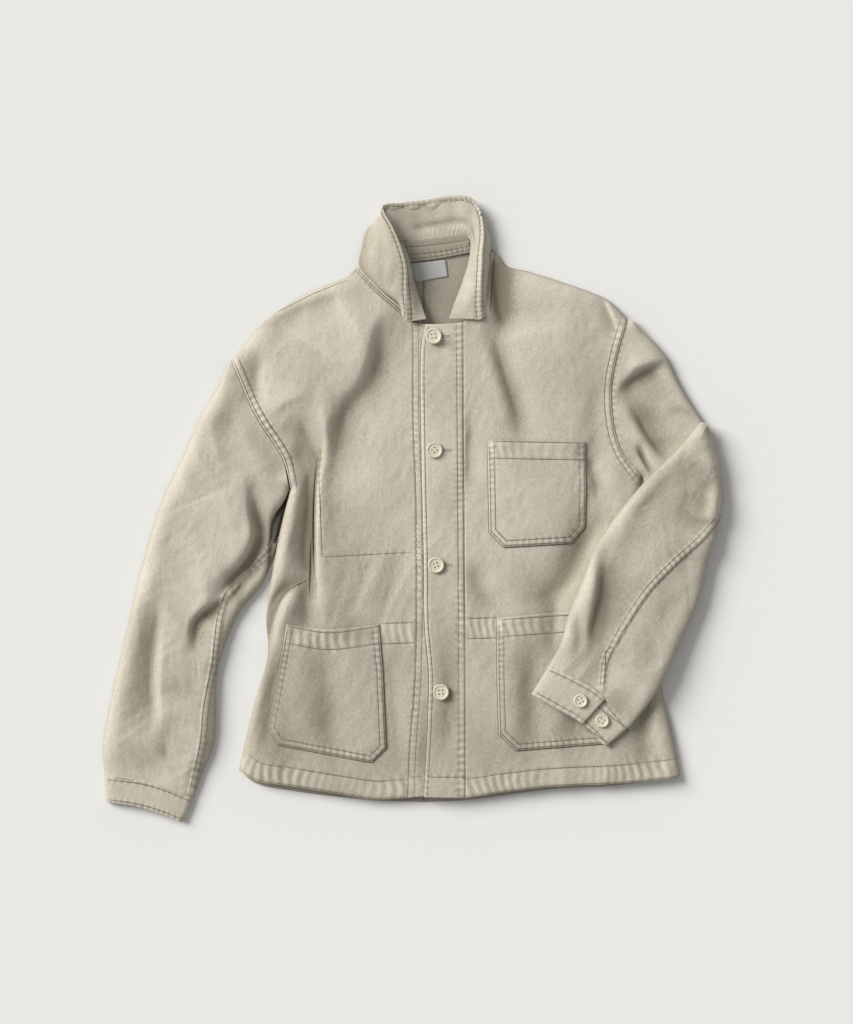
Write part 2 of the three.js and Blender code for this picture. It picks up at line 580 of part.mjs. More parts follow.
const neckCarriers = [frontRight, frontLeft, buttonBand, holeBand];
const footLines = {
  outer: smooth(collarStations.map((s) => [
    ...s.outer, Math.max(topWithin(neckCarriers, ...s.outer, FOOT_REACH), SEAM_GAP) + WALL + 2 * SEAM_GAP,
  ])),
  edge: smooth(collarStations.map((s) => [...s.edge, s.edgeUp])),
  inner: smooth(collarStations.map((s) => [...s.inner, s.innerUp])),
};
const collarLines = Array.from({ length: COLLAR_STEPS + 1 }, (_, i) => {
  const place = (i / COLLAR_STEPS) * (collarStations.length - 1);
  const at = (line, key) => pointOfRow(line, collarStations.map((s) => s[key]), place);
  const [o, e, n] = [at(footLines.outer, 'outer'), at(footLines.edge, 'edge'), at(footLines.inner, 'inner')];
  const wallOut = o.clone().lerp(e, 0.5).add(new THREE.Vector3(0, 0, COLLAR_BELLY.outer));
  const wallIn = e.clone().lerp(n, 0.5).add(new THREE.Vector3(0, 0, COLLAR_BELLY.inner));
  return [o, wallOut, e, wallIn, n].map((p) => [p.x, p.y, p.z]);
});

addPiece('collar', tentWall(reversed(collarLines)), TWILL);

// Buttons
frontButtons.forEach(([x, y], i) => {
  const up = topWithin([holeBand], x, y, BUTTON.across / 2) + SEAM_GAP;
  addPiece(`button_${i + 1}`, button(BUTTON.across).translate(x, y, up), BUTTON_RESIN);
});
cuffButtons.forEach(([x, y], i) => {
  const up = topWithin([leftCuff], x, y, CUFF_BUTTON_ACROSS / 2 - 1) + SEAM_GAP;
  addPiece(`cuff_button_${i + 1}`, button(CUFF_BUTTON_ACROSS).translate(x, y, up), BUTTON_RESIN);
});

export default jacket;
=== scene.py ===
import math

import bpy
import numpy as np
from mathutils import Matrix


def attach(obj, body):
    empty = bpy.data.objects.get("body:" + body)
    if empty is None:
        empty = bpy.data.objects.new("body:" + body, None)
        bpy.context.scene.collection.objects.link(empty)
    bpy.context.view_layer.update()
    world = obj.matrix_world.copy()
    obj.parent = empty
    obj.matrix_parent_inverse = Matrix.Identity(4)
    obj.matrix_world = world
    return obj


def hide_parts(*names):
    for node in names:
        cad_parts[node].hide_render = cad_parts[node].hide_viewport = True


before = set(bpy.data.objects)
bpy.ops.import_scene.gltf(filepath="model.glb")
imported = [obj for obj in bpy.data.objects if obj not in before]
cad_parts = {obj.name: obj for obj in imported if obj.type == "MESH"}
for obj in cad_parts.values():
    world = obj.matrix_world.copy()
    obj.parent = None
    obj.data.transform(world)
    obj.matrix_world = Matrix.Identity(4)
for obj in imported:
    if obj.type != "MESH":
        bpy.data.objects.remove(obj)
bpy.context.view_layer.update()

# The surface, the light and the camera.
# The jacket lies on a plain pale surface, lit softly from the upper left and seen from
# straight above through a long lens, so its outline keeps its shape.
VIEW_ACROSS = 1.280  # metres of the surface from the top to the bottom of the picture
VIEW_CENTRE = (0.0175, -0.0035)
CAMERA_UP = 3.6
SENSOR = 36.0

camera = bpy.data.objects.new("camera", bpy.data.cameras.new("camera"))
camera.location = (*VIEW_CENTRE, CAMERA_UP)
camera.data.sensor_width = SENSOR
camera.data.lens = SENSOR * CAMERA_UP / VIEW_ACROSS
bpy.context.scene.collection.objects.link(camera)
bpy.context.scene.camera = camera
bpy.context.scene.view_settings.view_transform = "Standard"

floor_mesh = bpy.data.meshes.new("surface")
floor_mesh.from_pydata([(-6, -6, 0), (6, -6, 0), (6, 6, 0), (-6, 6, 0)], [], [(0, 1, 2, 3)])
floor = bpy.data.objects.new("surface", floor_mesh)
floor.location.z = -0.0004
bpy.context.scene.collection.objects.link(floor)
paper = bpy.data.materials.new("pale_paper")
paper.use_nodes = True
paper_shader = paper.node_tree.nodes["Principled BSDF"]
paper_shader.inputs["Base Color"].default_value = (0.806, 0.798, 0.768, 1)
paper_shader.inputs["Roughness"].default_value = 1.0
paper_shader.inputs["Specular IOR Level"].default_value = 0.0
floor_mesh.materials.append(paper)

world = bpy.data.worlds.new("soft_room")
world.use_nodes = True
world.node_tree.nodes["Background"].inputs["Color"].default_value = (1.0, 1.0, 1.0, 1)
world.node_tree.nodes["Background"].inputs["Strength"].default_value = 0.355
bpy.context.scene.world = world

key = bpy.data.objects.new("key_light", bpy.data.lights.new("key_light", "SUN"))
key.data.energy = 3.66
key.data.angle = math.radians(32)
key.rotation_euler = (math.radians(56), 0, math.radians(239))
bpy.context.scene.collection.objects.link(key)

# The back, cut in two with a seam down its middle.
# Washed cotton twill, lying flat on the surface with its inside up. Only the part inside
# the neck shows. This section also defines how any cut piece of cloth is shaped.
MM = 0.001
LAY = (0.6, -1.5)  # middle of the laid jacket in the outlines' own millimetres
WALL = 1.6
ON_BACK = 2.3

right_shoulder = [(-225, 184), (-209, 204), (-192, 225), (-166, 247), (-127, 270), (-81, 289), (-66, 300)]
right_armhole = [(-225, 184), (-202, 130), (-186, 101), (-171, 79), (-160, 59), (-152, 24)]
right_side = [(-152, 24), (-158, 0), (-168, -44), (-174, -79), (-182, -135), (-180, -182), (-199, -252),
              (-216, -327)]
left_shoulder = [(101, 322), (117, 303), (147, 295), (179, 285), (222, 270), (244, 260), (269, 236)]
left_armhole = [(269, 236), (257, 196), (249, 156), (249, 120), (255, 87), (265, 64), (287, 36)]
left_side = [(287, 36), (290, 0), (297, -70), (303, -150), (311, -222), (324, -280), (335, -335)]
centre_back = [(14, 318), (14, 0), (15, -367)]


def straight(points):
    """A line of straight stretches, as a function of the share of its length."""
    p = np.array(points, float)
    steps = np.r_[0, np.cumsum(np.linalg.norm(np.diff(p, axis=0), axis=1))]

    def at(t):
        return np.stack([np.interp(np.asarray(t) * steps[-1], steps, p[:, k]) for k in range(p.shape[1])], -1)
    return at


def smooth(points, fine=16):
    """A smooth line through the points, as a function of the share of its length."""
    p = np.array(points, float)
    ends = np.vstack([2 * p[0] - p[1], p, 2 * p[-1] - p[-2]])
    gaps = np.maximum(np.linalg.norm(np.diff(ends, axis=0), axis=1), 1e-6) ** 0.5
    out = [p[0]]
    for i in range(len(p) - 1):
        a, b, c, d = ends[i:i + 4]
        g = gaps[i:i + 3]
        leave = (b - a) / g[0] - (c - a) / (g[0] + g[1]) + (c - b) / g[1]
        reach = (c - b) / g[1] - (d - b) / (g[1] + g[2]) + (d - c) / g[2]
        for s in np.linspace(0, 1, fine + 1)[1:]:
            s2, s3 = s * s, s ** 3
            out.append((2 * s3 - 3 * s2 + 1) * b + (s3 - 2 * s2 + s) * g[1] * leave
                       + (3 * s2 - 2 * s3) * c + (s3 - s2) * g[1] * reach)
    return straight(out)


def spaced(line, step=6.0):
    """Points on a line, about a step apart."""
    rough = line(np.linspace(0, 1, 200))
    length = np.linalg.norm(np.diff(rough, axis=0), axis=1).sum()
    return line(np.linspace(0, 1, max(3, int(round(length / step)) + 1)))


def nearest(points, x, y):
    """For each place: how far off a line it is, on which side, and how far along it in millimetres."""
    away = np.full(x.shape, 1e9)
    side = np.zeros(x.shape)
    along = np.zeros(x.shape)
    gone = 0.0
    for (ax, ay), (bx, by) in zip(points[:-1], points[1:]):
        ex, ey = bx - ax, by - ay
        size = math.hypot(ex, ey)
        t = np.clip(((x - ax) * ex + (y - ay) * ey) / size ** 2, 0, 1)
        dx, dy = x - ax - t * ex, y - ay - t * ey
        d = np.hypot(dx, dy)
        closer = d < away
        away = np.where(closer, d, away)
        side = np.where(closer, np.sign(ex * dy - ey * dx), side)
        along = np.where(closer, gone + t * size, along)
        gone += size
    return away, side, along, gone


def close_to(points, reach, x, y):
    """Which places lie within reach of the box round a line."""
    low, high = np.min(points, axis=0) - reach, np.max(points, axis=0) + reach
    return (x > low[0]) & (x < high[0]) & (y > low[1]) & (y < high[1])


def ease(t):
    """A soft step from 0 to 1."""
    t = np.clip(t, 0, 1)
    return t * t * (3 - 2 * t)


def off_edges(edges, x, y):
    """How far each place is from the nearest of some lines."""
    return np.min([nearest(edge, x, y)[0] for edge in edges], axis=0)


def kept_above(low, rise):
    """The rise of the cloth, which can sink softly towards a lowest value and not past it."""
    return low + np.logaddexp(0, (rise - low) * 1.2) / 1.2


def spots(x, y, places):
    """The sum of soft round places: each is (x, y, much, half its width, half its length)."""
    return sum(much * np.exp(-(((x - cx) / wide) ** 2) - ((y - cy) / long) ** 2)
               for cx, cy, much, wide, long in places)


def rolled(away, reach=17.0):
    """Cloth that rolls down to nothing at its edge and has risen to 1 at reach."""
    return np.sqrt(np.clip(1 - (1 - np.minimum(away / reach, 1)) ** 2, 0, 1))


def ripples(x, y, size, seed):
    """Soft uneven waves of about the given size, from -1 to 1."""
    rng = np.random.default_rng(seed)
    total = np.zeros(np.shape(x))
    for _ in range(9):
        turn, phase, stretch = rng.uniform(0, math.tau), rng.uniform(0, math.tau), rng.uniform(0.7, 1.5)
        total += np.sin(math.tau * (x * math.cos(turn) + y * math.sin(turn)) / (size * stretch) + phase)
    return total / 4.5


def crumpled(x, y, size, turn, seed):
    """Uneven soft ridges like those of washed cloth, longer along the turn, from about -1 to 1."""
    c, s = math.cos(math.radians(turn)), math.sin(math.radians(turn))
    along, across = 0.5 * (x * c + y * s), y * c - x * s
    bent = across + 0.3 * size * ripples(along, across, 2.2 * size, seed)
    return 0.75 - 2.2 * np.sqrt(ripples(along, bent, size, seed + 100) ** 2 + 0.012)


def creased(x, y, folds):
    """The sum of given folds: each is (path, high, reach on its left hand, and on its right)."""
    total = np.zeros(np.shape(x))
    for path, high, left_reach, right_reach in folds:
        points = spaced(smooth(path), 7)
        here = close_to(points, 4 * max(left_reach, right_reach), x, y)
        if not here.any():
            continue
        away, side, along, length = nearest(points, x[here], y[here])
        t = along / length
        ends = np.where((t <= 0) | (t >= 1), 0, ease(t / 0.4) * ease((1 - t) / 0.4))
        reach = np.where(side > 0, left_reach, right_reach) * (1.9 - 0.9 * ends)
        total[here] += high * ends * np.exp(-((away / reach) ** 1.7))
    return total


def puckered(x, y, strips, seed=5):
    """Seams drawn up by washing: each is (middle line, half the gap of its rows, height, period). Their
    colour is paler along the seam where it rubs, with painted light on the tops of the puckers and painted
    shade in the dips between them and along the stitch rows.
    """
    rng = np.random.default_rng(seed)
    form, wear_and_shade = np.zeros(np.shape(x)), np.zeros(np.shape(x))
    for points, half, high, period in strips:
        a, b, c = rng.uniform(0, math.tau, 3)
        here = close_to(points, half + 9, x, y)
        if not here.any():
            continue
        away, side, along, length = nearest(points, x[here], y[here])
        phase = math.tau * along / period + 1.9 * np.sin(along / 21 + a) + 1.3 * np.sin(along / 47 + b)
        uneven = 0.6 + 0.4 * np.sin(along / 27 + c)
        wave = np.cos(phase + 1.1 * np.sin(side * away / 7 + along / 40)) * uneven
        fade = np.exp(-((away / (half + 2.8)) ** 3))
        row = np.exp(-(((away - half) / 1.6) ** 2))
        form[here] += 0.75 * high * wave * fade - 0.4 * row
        # Painted light on the tops of the puckers, painted shade in the dips between them and along the
        # stitch rows, and a little paleness where the seam rubs.
        wear_and_shade[here] += fade * (1.1 * wave + 0.3) - 0.45 * row
    return form, wear_and_shade


def between(left, right, top, bottom):
    """The place at each (u, v) of a piece cut between four lines."""
    l, r, t, b = [line if callable(line) else smooth(line) for line in (left, right, top, bottom)]

    def place(u, v):
        uu, vv = u[..., None], v[..., None]
        across = (1 - uu) * l(v) + uu * r(v)
        down = (1 - vv) * t(u) + vv * b(u)
        corners = ((1 - uu) * (1 - vv) * l(0) + uu * (1 - vv) * r(0) + (1 - uu) * vv * l(1) + uu * vv * r(1))
        return across + down - corners
    return place


def levelled(heights, reach):
    """The heights smoothed over so many steps of the grid each way."""
    for axis in (0, 1, 0, 1):
        more = [(reach + 1, reach) if a == axis else (0, 0) for a in (0, 1)]
        padded = np.pad(heights, more, mode="edge")
        total = np.cumsum(padded, axis=axis)
        n = heights.shape[axis]
        width = 2 * reach + 1
        heights = (np.take(total, range(width, width + n), axis) - np.take(total, range(n), axis)) / width
    return heights


def closed_cloth(name, upper, lower, wear_and_shade=None):
    """A closed thin shell from two like grids of points in millimetres, the upper one seen from above."""
    rows, columns = upper.shape[:2]
    points = np.concatenate([upper.reshape(-1, 3), lower.reshape(-1, 3)])
    points = (points - (LAY[0], LAY[1], 0)) * MM
    n = rows * columns
    grid = np.arange(n).reshape(rows, columns)
    a, b, c, d = grid[:-1, :-1], grid[1:, :-1], grid[1:, 1:], grid[:-1, 1:]
    up = np.stack([a, b, c, d], -1).reshape(-1, 4)
    down = np.stack([a, d, c, b], -1).reshape(-1, 4) + n
    ring = np.concatenate([grid[0, :], grid[1:, -1], grid[-1, -2::-1], grid[-2:0:-1, 0]])
    nxt = np.roll(ring, -1)
    sides = np.stack([ring, nxt, nxt + n, ring + n], -1)
    faces = np.concatenate([up, down, sides])
    mesh = bpy.data.meshes.new(name)
    mesh.vertices.add(len(points))
    mesh.vertices.foreach_set("co", points.ravel())
    mesh.loops.add(faces.size)
    mesh.loops.foreach_set("vertex_index", faces.ravel().astype(np.int32))
    mesh.polygons.add(len(faces))
    mesh.polygons.foreach_set("loop_start", np.arange(0, faces.size, 4, dtype=np.int32))
    mesh.polygons.foreach_set("use_smooth", np.ones(len(faces), bool))
    mesh.update(calc_edges=True)
    # Painted light and shade: the hollows of the relief are painted darker and its crests lighter, on top of
    # the wear.
    painted_relief_shading = np.clip(0.35 * (upper[..., 2] - levelled(upper[..., 2], 3))
                    + 0.16 * (upper[..., 2] - levelled(upper[..., 2], 8)), -1.2, 0.7)
    wear_and_shade_layer = mesh.attributes.new("wear_and_shade", "FLOAT", "POINT")
    values = np.tile((painted_relief_shading + (0 if wear_and_shade is None else wear_and_shade)).ravel(), 2)
    wear_and_shade_layer.data.foreach_set("value", values.astype(np.float32))
    piece = bpy.data.objects.new(name, mesh)
    bpy.context.scene.collection.objects.link(piece)
    return piece


def cut_piece(name, edges, height, pitch, wall=WALL):
    """A cut piece of cloth between four lines, with its underside at height(x, y) in millimetres."""
    place = between(*edges)
    probe = place(*np.meshgrid(np.linspace(0, 1, 9), np.linspace(0, 1, 9)))
    wide = np.linalg.norm(np.diff(probe, axis=1), axis=2).sum(1).max()
    long = np.linalg.norm(np.diff(probe, axis=0), axis=2).sum(0).max()
    u, v = np.meshgrid(np.linspace(0, 1, int(wide / pitch) + 2), np.linspace(0, 1, int(long / pitch) + 2))
    p = place(u, v)
    z, wear_and_shade = height(p[..., 0], p[..., 1])
    lower = np.concatenate([p, z[..., None]], -1)
    return closed_cloth(name, lower + (0, 0, wall), lower, wear_and_shade)


def dyed_twill(name, light, dark, weave_bump=0.34):
    """Washed cotton twill: uneven garment dye, paler where seams rub, with painted light and shade laid on
    through its attribute, and a fine diagonal weave.
    """
    material = bpy.data.materials.new(name)
    material.use_nodes = True
    nodes, links = material.node_tree.nodes, material.node_tree.links
    shader = nodes["Principled BSDF"]
    shader.inputs["Roughness"].default_value = 0.93
    shader.inputs["Specular IOR Level"].default_value = 0.12
    shader.inputs["Sheen Weight"].default_value = 0.12
    shader.inputs["Sheen Roughness"].default_value = 0.6
    place = nodes.new("ShaderNodeTexCoord")

    slubs = nodes.new("ShaderNodeMapping")
    slubs.inputs["Scale"].default_value = (1.0, 0.34, 1.0)
    links.new(place.outputs["Object"], slubs.inputs["Vector"])

    def noise(scale, detail, rough=0.55, drawn=False):
        node = nodes.new("ShaderNodeTexNoise")
        node.inputs["Scale"].default_value = scale
        node.inputs["Detail"].default_value = detail
        node.inputs["Roughness"].default_value = rough
        links.new(slubs.outputs["Vector"] if drawn else place.outputs["Object"], node.inputs["Vector"])
        return node.outputs["Fac"]

    def maths(kind, a, b):
        node = nodes.new("ShaderNodeMath")
        node.operation = kind
        for socket, value in zip(node.inputs, (a, b)):
            if isinstance(value, (int, float)):
                socket.default_value = value
            else:
                links.new(value, socket)
        return node.outputs[0]

    # The attribute holds the cloth's rubbed wear together with painted light and shade in its hollows,
    # puckers and stitch lines.
    wear_and_shade = nodes.new("ShaderNodeAttribute")
    wear_and_shade.attribute_name = "wear_and_shade"
    cloud = maths("MULTIPLY", maths("SUBTRACT", noise(12, 3), 0.5), 0.3)
    fleck = maths("MULTIPLY", maths("SUBTRACT", noise(760, 2, 0.7, True), 0.5), 0.75)
    rubbed_and_shaded = maths("MULTIPLY", wear_and_shade.outputs["Fac"], 0.18)
    tone = maths("ADD", maths("ADD", cloud, fleck), maths("ADD", rubbed_and_shaded, 0.5))
    dye = nodes.new("ShaderNodeMix")
    dye.data_type = "RGBA"
    dye.inputs["A"].default_value = (*dark, 1)
    dye.inputs["B"].default_value = (*light, 1)
    dye.clamp_factor = True
    links.new(tone, dye.inputs["Factor"])
    links.new(dye.outputs["Result"], shader.inputs["Base Color"])

    lie = nodes.new("ShaderNodeMapping")
    lie.inputs["Rotation"].default_value = (0, 0, math.radians(58))
    links.new(place.outputs["Object"], lie.inputs["Vector"])
    weave = nodes.new("ShaderNodeTexWave")
    weave.inputs["Scale"].default_value = 330
    weave.inputs["Distortion"].default_value = 1.6
    weave.inputs["Detail Scale"].default_value = 3
    links.new(lie.outputs["Vector"], weave.inputs["Vector"])
    crumple = maths("MULTIPLY", noise(150, 2, 0.5), 0.25)
    relief = maths("ADD", maths("MULTIPLY", weave.outputs["Fac"], 0.22), maths("ADD", crumple, noise(700, 1)))
    bump = nodes.new("ShaderNodeBump")
    bump.inputs["Strength"].default_value = weave_bump
    bump.inputs["Distance"].default_value = 0.0012
    links.new(relief, bump.inputs["Height"])
    links.new(bump.outputs["Normal"], shader.inputs["Normal"])
    return material


outside_twill = dyed_twill("stone_twill", (0.782, 0.727, 0.603), (0.285, 0.250, 0.183))
# The inside is the same twill painted darker: painted shade for the inside of the neck, below the collar.
shaded_inside_twill = dyed_twill("stone_twill_inside_painted_shade", (0.530, 0.485, 0.390), (0.230, 0.202, 0.150))


def finish_cloth(piece, material, node):
    """Gives a cut piece its cloth and its place in the frame, and hides the model part that it stands for."""
    piece.data.materials.append(material)
    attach(piece, "root")
    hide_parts(node)


def back_up(x, y):
    seam = np.exp(-(((x - 14) / 2.0) ** 2))
    rows = np.exp(-(((x - 21) / 1.4) ** 2))
    # Painted shade along the centre back seam and its row of stitches.
    return 0.02 + 0 * x, -0.9 * seam - 0.45 * rows


# The back shows its inside, in the darker twill of painted shade.
back_right_piece = cut_piece("back_panel_right", (
    [*right_armhole, *right_side[1:]], [(13.7, 318), (13.7, 0), (14.7, -367)],
    [*right_shoulder, (-36, 310), (13.7, 318)],
    [(-216, -327), (-197, -343), (-150, -353), (-47, -365), (14.7, -367)],
), back_up, 5.0)
finish_cloth(back_right_piece, shaded_inside_twill, "back_right")
back_left_piece = cut_piece("back_panel_left", (
    centre_back, [*left_armhole, *left_side[1:]],
    [(14, 318), (70, 325), (101, 322), *left_shoulder[1:]],
    [(15, -367), (67, -365), (176, -351), (260, -346), (335, -335)],
), back_up, 5.0)
finish_cloth(back_left_piece, shaded_inside_twill, "back_left")

# The two fronts.
# Single twill, sewn to the back at the shoulders and sides and turned up at the hem. They
# are creased from lying, and drawn up into small puckers along every line of stitching.
AIR = 9.0
LAP_RISE = 3.0
button_band_seam = [(1, 231), (1, 110), (4, 20), (5, -140), (3, -220), (-3, -300), (-5, -361)]
hole_band_seam = [(64, 231), (65, 72), (66, -71), (67, -240), (67, -361)]
right_hem = [(-216, -327), (-197, -339), (-150, -347), (-94, -356), (-47, -363), (-5, -361)]
left_hem = [(67, -361), (120, -353), (176, -347), (260, -343), (335, -335)]
right_neck = [(-66, 300), (-39, 272), (-12, 249), (1, 231)]
left_neck = [(64, 231), (80, 250), (95, 290), (101, 322)]

front_folds = [
    # path, high, reach on its left hand, reach on its right hand
    ([(-30, 276), (-48, 232), (-57, 198), (-70, 162), (-98, 138)], 6.0, 12, 55),
    ([(-10, 276), (-33, 226), (-40, 182), (-53, 153), (-76, 127), (-90, 88), (-94, 10)], -7.0, 34, 13),
    ([(-130, 140), (-111, 124), (-106, 91), (-110, 30)], 5.0, 12, 9),
    ([(-150, 122), (-133, 91), (-127, 36)], -6.0, 10, 18),
    ([(-186, 112), (-150, 137), (-118, 140)], 2.6, 20, 8),
    ([(-108, 100), (-120.5, 40), (-123, 2), (-124, -50), (-122, -122)], -13.0, 3.5, 15),
    ([(-148, 70), (-155, 0), (-161, -44), (-166, -110)], 7.0, 20, 14),
    ([(-104, 96), (-112, 40), (-115, 2), (-117, -40), (-116, -96), (-102, -160)], 3.8, 22, 4),
    ([(-126, -84), (-150, -97), (-164, -112), (-173, -131), (-180, -160), (-184, -195)], -9.0, 4, 9),
    ([(-134, -98), (-152, -118), (-162, -142), (-170, -186)], 3.5, 12, 6),
    ([(-128, -80), (-132, -120), (-130, -170)], -6.5, 12, 15),
    ([(-76, -30), (-88, -95), (-108, -170)], -2.8, 14, 20),
    ([(-44, -30), (-66, -100), (-92, -170)], -2.8, 10, 18),
    ([(8, -20), (-24, -86), (-48, -170)], -2.4, 10, 20),
    ([(-80, 110), (-98, 40), (-98, 0), (-82, -80)], -2.8, 28, 12),
    ([(-186, 204), (-195, 164), (-191, 116)], -5.0, 8, 14),
    ([(-60, 270), (-137, 247), (-204, 208)], -5.0, 24, 12),
    ([(-162, -160), (-175, -230), (-186, -330)], -6.5, 10, 16),
    ([(-118, -130), (-110, -220), (-104, -345)], -5.0, 20, 30),
    ([(-26, -150), (-24, -240), (-12, -355)], -3.0, 12, 20),
    ([(42, -140), (46, -240), (38, -355)], -3.2, 18, 14),
    ([(100, 334), (105, 292), (110, 258), (124, 206)], -13.0, 32, 9),
    ([(96, 250), (111, 184), (124, 142), (136, 100), (148, 60)], -8.0, 15, 9),
    ([(229, 280), (246, 240), (259, 204)], -3.6, 2.6, 12),
    ([(214, 90), (226, 42), (238, -6)], -4.5, 12, 8),
    ([(74, 150), (72, 70), (66, -10)], -3.2, 12, 7),
    ([(76, -56), (88, -108), (124, -134)], -3.2, 14, 12),
    ([(254, 22), (218, -36), (202, -67), (181, -99), (120, -125)], -7.5, 14, 22),
    ([(172, -84), (175, -140), (171, -206)], -4.0, 9, 14),
    ([(240, 184), (227, 110), (237, 34)], -3.2, 16, 16),
    ([(148, -150), (146, -230), (152, -335)], -5.0, 20, 16),
    ([(206, -140), (206, -230), (194, -335)], -4.5, 22, 16),
    ([(298, -206), (288, -280), (302, -350)], -4.5, 14, 16),
    ([(22, 192), (44, 204), (70, 188)], -1.8, 5, 8),
]
fullness = [
    # x, y, high, half its width, half its length
    (-125, 175, 6.0, 62, 62),
    (-60, 40, 3.0, 40, 70),
    (-75, -120, 3.5, 60, 50),
    (-60, -250, 3.0, 90, 70),
    (180, 190, 5.0, 55, 60),
    (110, 20, 2.5, 60, 60),
    (110, -250, 1.5, 60, 60),
]
body_edges = [spaced(smooth(line)) for line in (right_shoulder, right_side, left_shoulder, left_side)]


def painted_fold_shade(x, y, folds):
    """Painted shade where the folds sink: how much darker the cloth is painted there."""
    return 0.15 * np.minimum(0, creased(x, y, folds))


def front_form(x, y, rise):
    """The fronts without their seams: risen over the back, with creases, rolled down at the sides."""
    away = off_edges(body_edges, x, y)
    waves = (0.9 * ripples(x, y, 95, 11) + 0.9 * crumpled(x, y, 85, 100, 12)
             + 0.2 * crumpled(x, y, 32, 70, 13) + 0.16 * crumpled(x, y, 17, 95, 19))
    sunk = rise + spots(x, y, fullness) + 1.3 * creased(x, y, front_folds) + waves
    return ON_BACK + kept_above(0.6, sunk) * rolled(away)


# Patches of painted shade where folds and hollows lie in shade, and two of painted light.
painted_shading_places = [
    # x, y, how much lighter it is painted (below 0, painted shade), half its width, half its length
    (-108, 62, -1.0, 26, 50), (-134, -95, -1.7, 13, 38), (-152, -20, -0.8, 18, 44),
    (-166, -250, -1.8, 13, 84),
    (-106, -262, -0.9, 17, 74), (-76, -152, -1.1, 20, 20), (-42, -230, 1.0, 14, 84), (-76, -90, -0.5, 22, 60),
    (104, 266, -2.6, 15, 36), (116, 300, -1.2, 14, 22), (136, 150, -0.5, 10, 50), (14, -300, -1.5, 9, 50),
    (48, -212, -0.8, 15, 44), (140, -205, -0.8, 18, 46),
    (172, -122, -0.6, 22, 26), (204, -62, -1.0, 17, 30), (262, 20, -0.6, 14, 34), (-10, 60, 0.4, 60, 90),
    (-214, -98, -1.1, 17, 30), (-193, -42, -1.0, 11, 42), (-336, -196, -0.8, 22, 56),
    (-228, -178, -0.8, 13, 46),
    (-318, -170, -0.6, 12, 60), (300, 104, -1.1, 20, 44), (272, 56, -0.9, 12, 30), (340, 150, -0.6, 16, 30),
]


def painted_shading(x, y):
    """Soft patches of painted shade, and a few of painted light, over the whole jacket."""
    return spots(x, y, painted_shading_places)


def front_wear_and_shade(x, y, wear_and_shade):
    """The colour of a front: paler where it rubs, with painted shade in its sunk folds, patches of painted
    light and shade, and painted shade growing towards the hem.
    """
    return wear_and_shade + painted_fold_shade(x, y, front_folds) + painted_shading(x, y) - 0.9 * ease((20 - y) / 330)


def moved(points, off):
    """Points moved off to the left of the line that they lie on."""
    run = np.gradient(points, axis=0)
    run /= np.linalg.norm(run, axis=1)[:, None]
    return points + off * np.stack([-run[:, 1], run[:, 0]], 1)


def drawn(points, count=40):
    """So many points on a smooth line."""
    return smooth(points)(np.linspace(0, 1, count))


def beside(line, off, step=5.0):
    """A smooth line run beside another one, off to its left by so much."""
    return moved(spaced(smooth(line), step), off)


right_rows = [
    # middle line, half the gap of its two stitch rows, height, period
    (beside(right_armhole, 5.5), 3.2, 0.6, 8.5),
    (beside(right_hem, 12.5), 10.5, 0.6, 11),
    (spaced(straight([(-113, 72), (-116, 49), (-112, -61)])), 0, 0.4, 9),
    (spaced(straight([(-112, -61), (-1, -55)])), 0, 0.6, 9),
    (spaced(straight([(-40, -156.5), (3, -155)])), 12.7, 0.7, 11),
    (spaced(smooth([(-69, 297), (-43, 269), (-16, 246), (-3, 234)])), 1.4, 0.3, 8),
    (beside(button_band_seam, 4), 3.4, 0.65, 8.5),
]
left_rows = [
    (beside(left_armhole, -5.5), 3.2, 0.6, 8.5),
    (beside(left_hem, 12.5), 10.5, 0.6, 11),
    (spaced(straight([(68, -150), (106, -149)])), 12.5, 0.7, 11),
    (beside(hole_band_seam, -5.5), 3.4, 0.65, 8.5),
]
ARMHOLE_LAP = 9.5
right_armhole_line = spaced(smooth(right_armhole))
left_armhole_line = spaced(smooth(left_armhole))


def felled(line, x, y, across=ARMHOLE_LAP, high=0.7):
    """The extra height of a seam's turned-in strip beside a line."""
    strip = np.zeros(np.shape(x))
    here = close_to(line, across + 2, x, y)
    strip[here] = high * (1 - ease((nearest(line, x[here], y[here])[0] - across + 0.8) / 1.6))
    return strip


def right_front_up(x, y):
    form, wear_and_shade = puckered(x, y, right_rows, 21)
    strip = felled(right_armhole_line, x, y)
    return front_form(x, y, AIR) + form + strip, front_wear_and_shade(x, y, wear_and_shade) + 0.2 * strip


def left_front_up(x, y):
    form, wear_and_shade = puckered(x, y, left_rows, 22)
    strip = felled(left_armhole_line, x, y)
    return front_form(x, y, AIR + LAP_RISE) + form + strip, front_wear_and_shade(x, y, wear_and_shade) + 0.2 * strip


front_right_piece = cut_piece("front_panel_right", (
    [*right_armhole, *right_side[1:]], button_band_seam,
    [*right_shoulder, *right_neck[1:]], right_hem,
), right_front_up, 2.3)
finish_cloth(front_right_piece, outside_twill, "front_right")
front_left_piece = cut_piece("front_panel_left", (
    hole_band_seam, [*left_armhole, *left_side[1:]],
    [(64.0, 231), *left_neck[1:], *left_shoulder[1:]], [(67.0, -361), *left_hem[1:]],
), left_front_up, 2.3)
finish_cloth(front_left_piece, outside_twill, "front_left")


def made_of(name, points, faces, material, soft=True):
    """A small piece of sewing from points in millimetres."""
    mesh = bpy.data.meshes.new(name)
    mesh.from_pydata([((x - LAY[0]) * MM, (y - LAY[1]) * MM, z * MM) for x, y, z in points], [], faces)
    mesh.polygons.foreach_set("use_smooth", [soft] * len(faces))
    mesh.materials.append(material)
    piece = bpy.data.objects.new(name, mesh)
    bpy.context.scene.collection.objects.link(piece)
    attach(piece, "root")
    return piece


